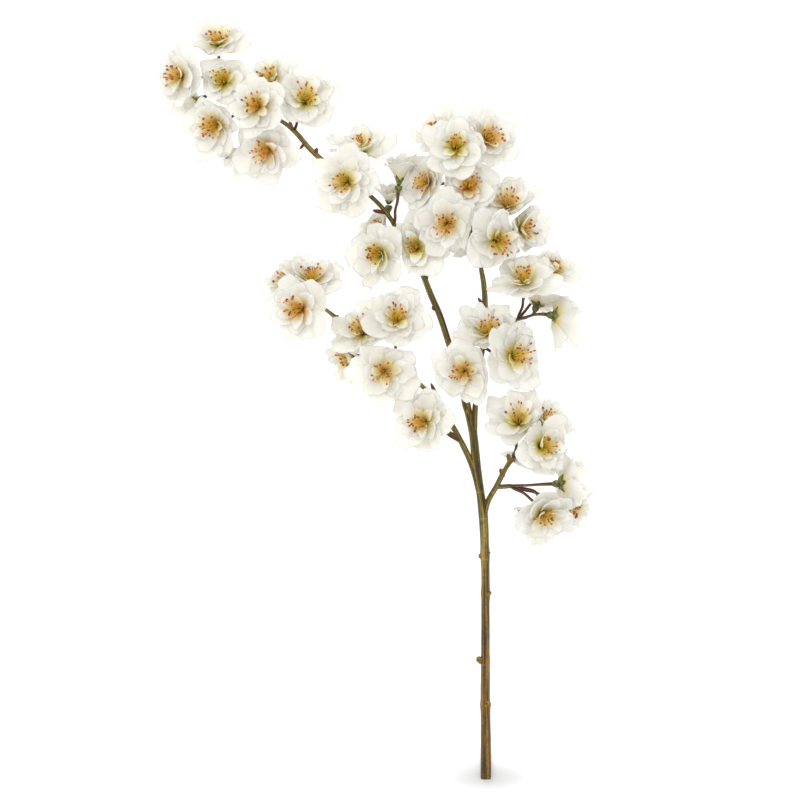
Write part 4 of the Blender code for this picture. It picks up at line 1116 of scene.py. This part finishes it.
def table_finish():
    """A white light table: it glows a little from below, so shadows on it stay faint, and it carries a painted shadow
    round the foot of the sprig.
    """
    made, tree, shader, _ = new_finish("white light table")
    shader.inputs["Base Color"].default_value = colour("#BCBCBC")
    shader.inputs["Roughness"].default_value = 0.9
    shader.inputs["Specular IOR Level"].default_value = 0.1
    shader.inputs["Emission Color"].default_value = colour("#FFFFFF")
    # It glows less round the foot of the sprig: a painted shadow, a soft darker patch beside the stem's butt.
    position = add_node(tree, "ShaderNodeTexCoord").outputs["Object"]
    from_painted_shadow = add_node(tree, "ShaderNodeVectorMath", {0: position, 1: (-0.083, 0.269, 0.0)}, operation="ADD")
    painted_shadow_stretch = add_node(tree, "ShaderNodeVectorMath", {0: from_painted_shadow.outputs[0], 1: (0.32, 1.0, 0.0)},
                       operation="MULTIPLY")
    away = add_node(tree, "ShaderNodeVectorMath", {0: painted_shadow_stretch.outputs[0]}, operation="LENGTH").outputs["Value"]
    # Emission strength, lowest in the middle of the painted shadow at the foot.
    glow = add_node(tree, "ShaderNodeMapRange", {
        "Value": away, "From Min": 0.0, "From Max": 0.022, "To Min": 0.24, "To Max": 0.80},
        interpolation_type="SMOOTHSTEP")
    tree.links.new(glow.outputs[0], shader.inputs["Emission Strength"])
    return made


# Room, light and camera

def build_stage():
    mesh = bpy.data.meshes.new("table")
    half = 3.0
    mesh.from_pydata([(-half, -half, 0), (half, -half, 0), (half, half, 0), (-half, half, 0)], [], [(0, 1, 2, 3)])
    mesh.materials.append(table_finish())
    table = bpy.data.objects.new("table", mesh)
    bpy.context.scene.collection.objects.link(table)
    for name, spot, size, power in (
        ("key", (-0.7, 0.5, 1.5), 0.8, 6.8),
        ("fill", (0.9, -0.2, 1.3), 1.4, 2.0),
        ("back", (0.0, 1.3, 1.0), 1.0, 1.2),
    ):
        lamp = bpy.data.lights.new(name, "AREA")
        lamp.size = size
        lamp.energy = power
        holder = bpy.data.objects.new(name, lamp)
        holder.location = spot
        holder.rotation_euler = (Vector(spot)).to_track_quat("Z", "Y").to_euler()
        bpy.context.scene.collection.objects.link(holder)
    world = bpy.data.worlds.new("soft room")
    world.use_nodes = True
    background = world.node_tree.nodes["Background"]
    background.inputs["Color"].default_value = colour("#FFFFFF")
    background.inputs["Strength"].default_value = 0.95
    bpy.context.scene.world = world
    bpy.context.scene.view_settings.view_transform = "Standard"


def build_camera():
    lens = bpy.data.cameras.new("camera")
    lens.lens = LENS
    lens.sensor_width = SENSOR
    lens.clip_end = 50.0
    camera = bpy.data.objects.new("camera", lens)
    camera.location = (*VIEW_MIDDLE, VIEW_WIDTH * LENS / SENSOR + CAMERA_LIFT)
    bpy.context.scene.collection.objects.link(camera)
    bpy.context.scene.camera = camera


def main():
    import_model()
    build_camera()
    build_stage()
    petal, thread, anther = petal_finish(), thread_finish(), anther_finish()
    # Bark colours as dark, middle and light: the light ones also serve as painted highlight on the streaks' ridges and
    # the dark ones as painted shade in their grooves.
    bark = bark_finish("young olive bark", "#33290A", "#63550F", "#A8934A", 0.33, "#F0CDA6")
    twig = bark_finish("purple brown twig skin", "#280F06", "#55301C", "#86603A", 0.4)
    green = green_finish()
    scales = bark_finish("red brown bud scales", "#301606", "#683A16", "#986A36", 0.45)
    knob = bark_finish("yellow olive knob bark", "#4E3804", "#8C6A14", "#B8963E", 0.42)

    whorl_nodes, tuft_nodes, stem_nodes = whorl_tree(), tuft_tree(), stem_tree()
    shelves = [
        shelf("outer_petals", [petal_blade(10 + k, BLOSSOM_RADIUS * OUTER["share"], (22, 12),
                                           3.0 + 0.6 * sway(k, 17), 0.94 + 0.06 * sway(k, 18))
                               for k in range(7)]),
        shelf("inner_petals", [petal_blade(30 + k, BLOSSOM_RADIUS * INNER["share"], (16, 10),
                                           2.8 + 0.6 * sway(k, 19), 0.84 + 0.12 * sway(k, 20), 1.6)
                               for k in range(7)]),
        shelf("throat_petals", [petal_blade(50 + k, BLOSSOM_RADIUS * THROAT["share"], (10, 7),
                                            1.8, 0.60 + 0.1 * sway(k, 21), 2.4)
                                for k in range(6)]),
    ]
    sepals = shelf("sepals", [sepal_blade(70 + k, BLOSSOM_RADIUS * SEPAL_SHARE, (6, 6)) for k in range(3)])

    blossoms = [Blossom(k, row) for k, row in enumerate(BLOSSOMS)]
    segments = obstacle_segments(blossoms)
    planes = [cell_planes(b, blossoms, segments) for b in blossoms]
    for b, room in zip(blossoms, planes):
        shapes = petal_shapes(b, room, whorl_nodes, shelves, petal)
        shapes.append(tuft_shape(b, room, tuft_nodes, thread, anther))
        for shape in shapes:
            shape.values["flush"] = np.full(len(shape.points), b.tint[0])
            shape.values["green"] = np.full(len(shape.points), b.tint[1])
        piece = piece_from(b.name + "_petals", shapes, (petal, thread, anther))
        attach(piece, "root")
        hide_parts(b.name)

    skins = (bark, twig, green, scales, knob)
    wood = branch_shapes(blossoms, planes, stem_nodes, whorl_nodes, sepals, skins)
    piece = piece_from("branch_wood", wood, skins)
    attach(piece, "root")
    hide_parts("branch")
    for collection in (*shelves, sepals):
        cleared(collection)


main()
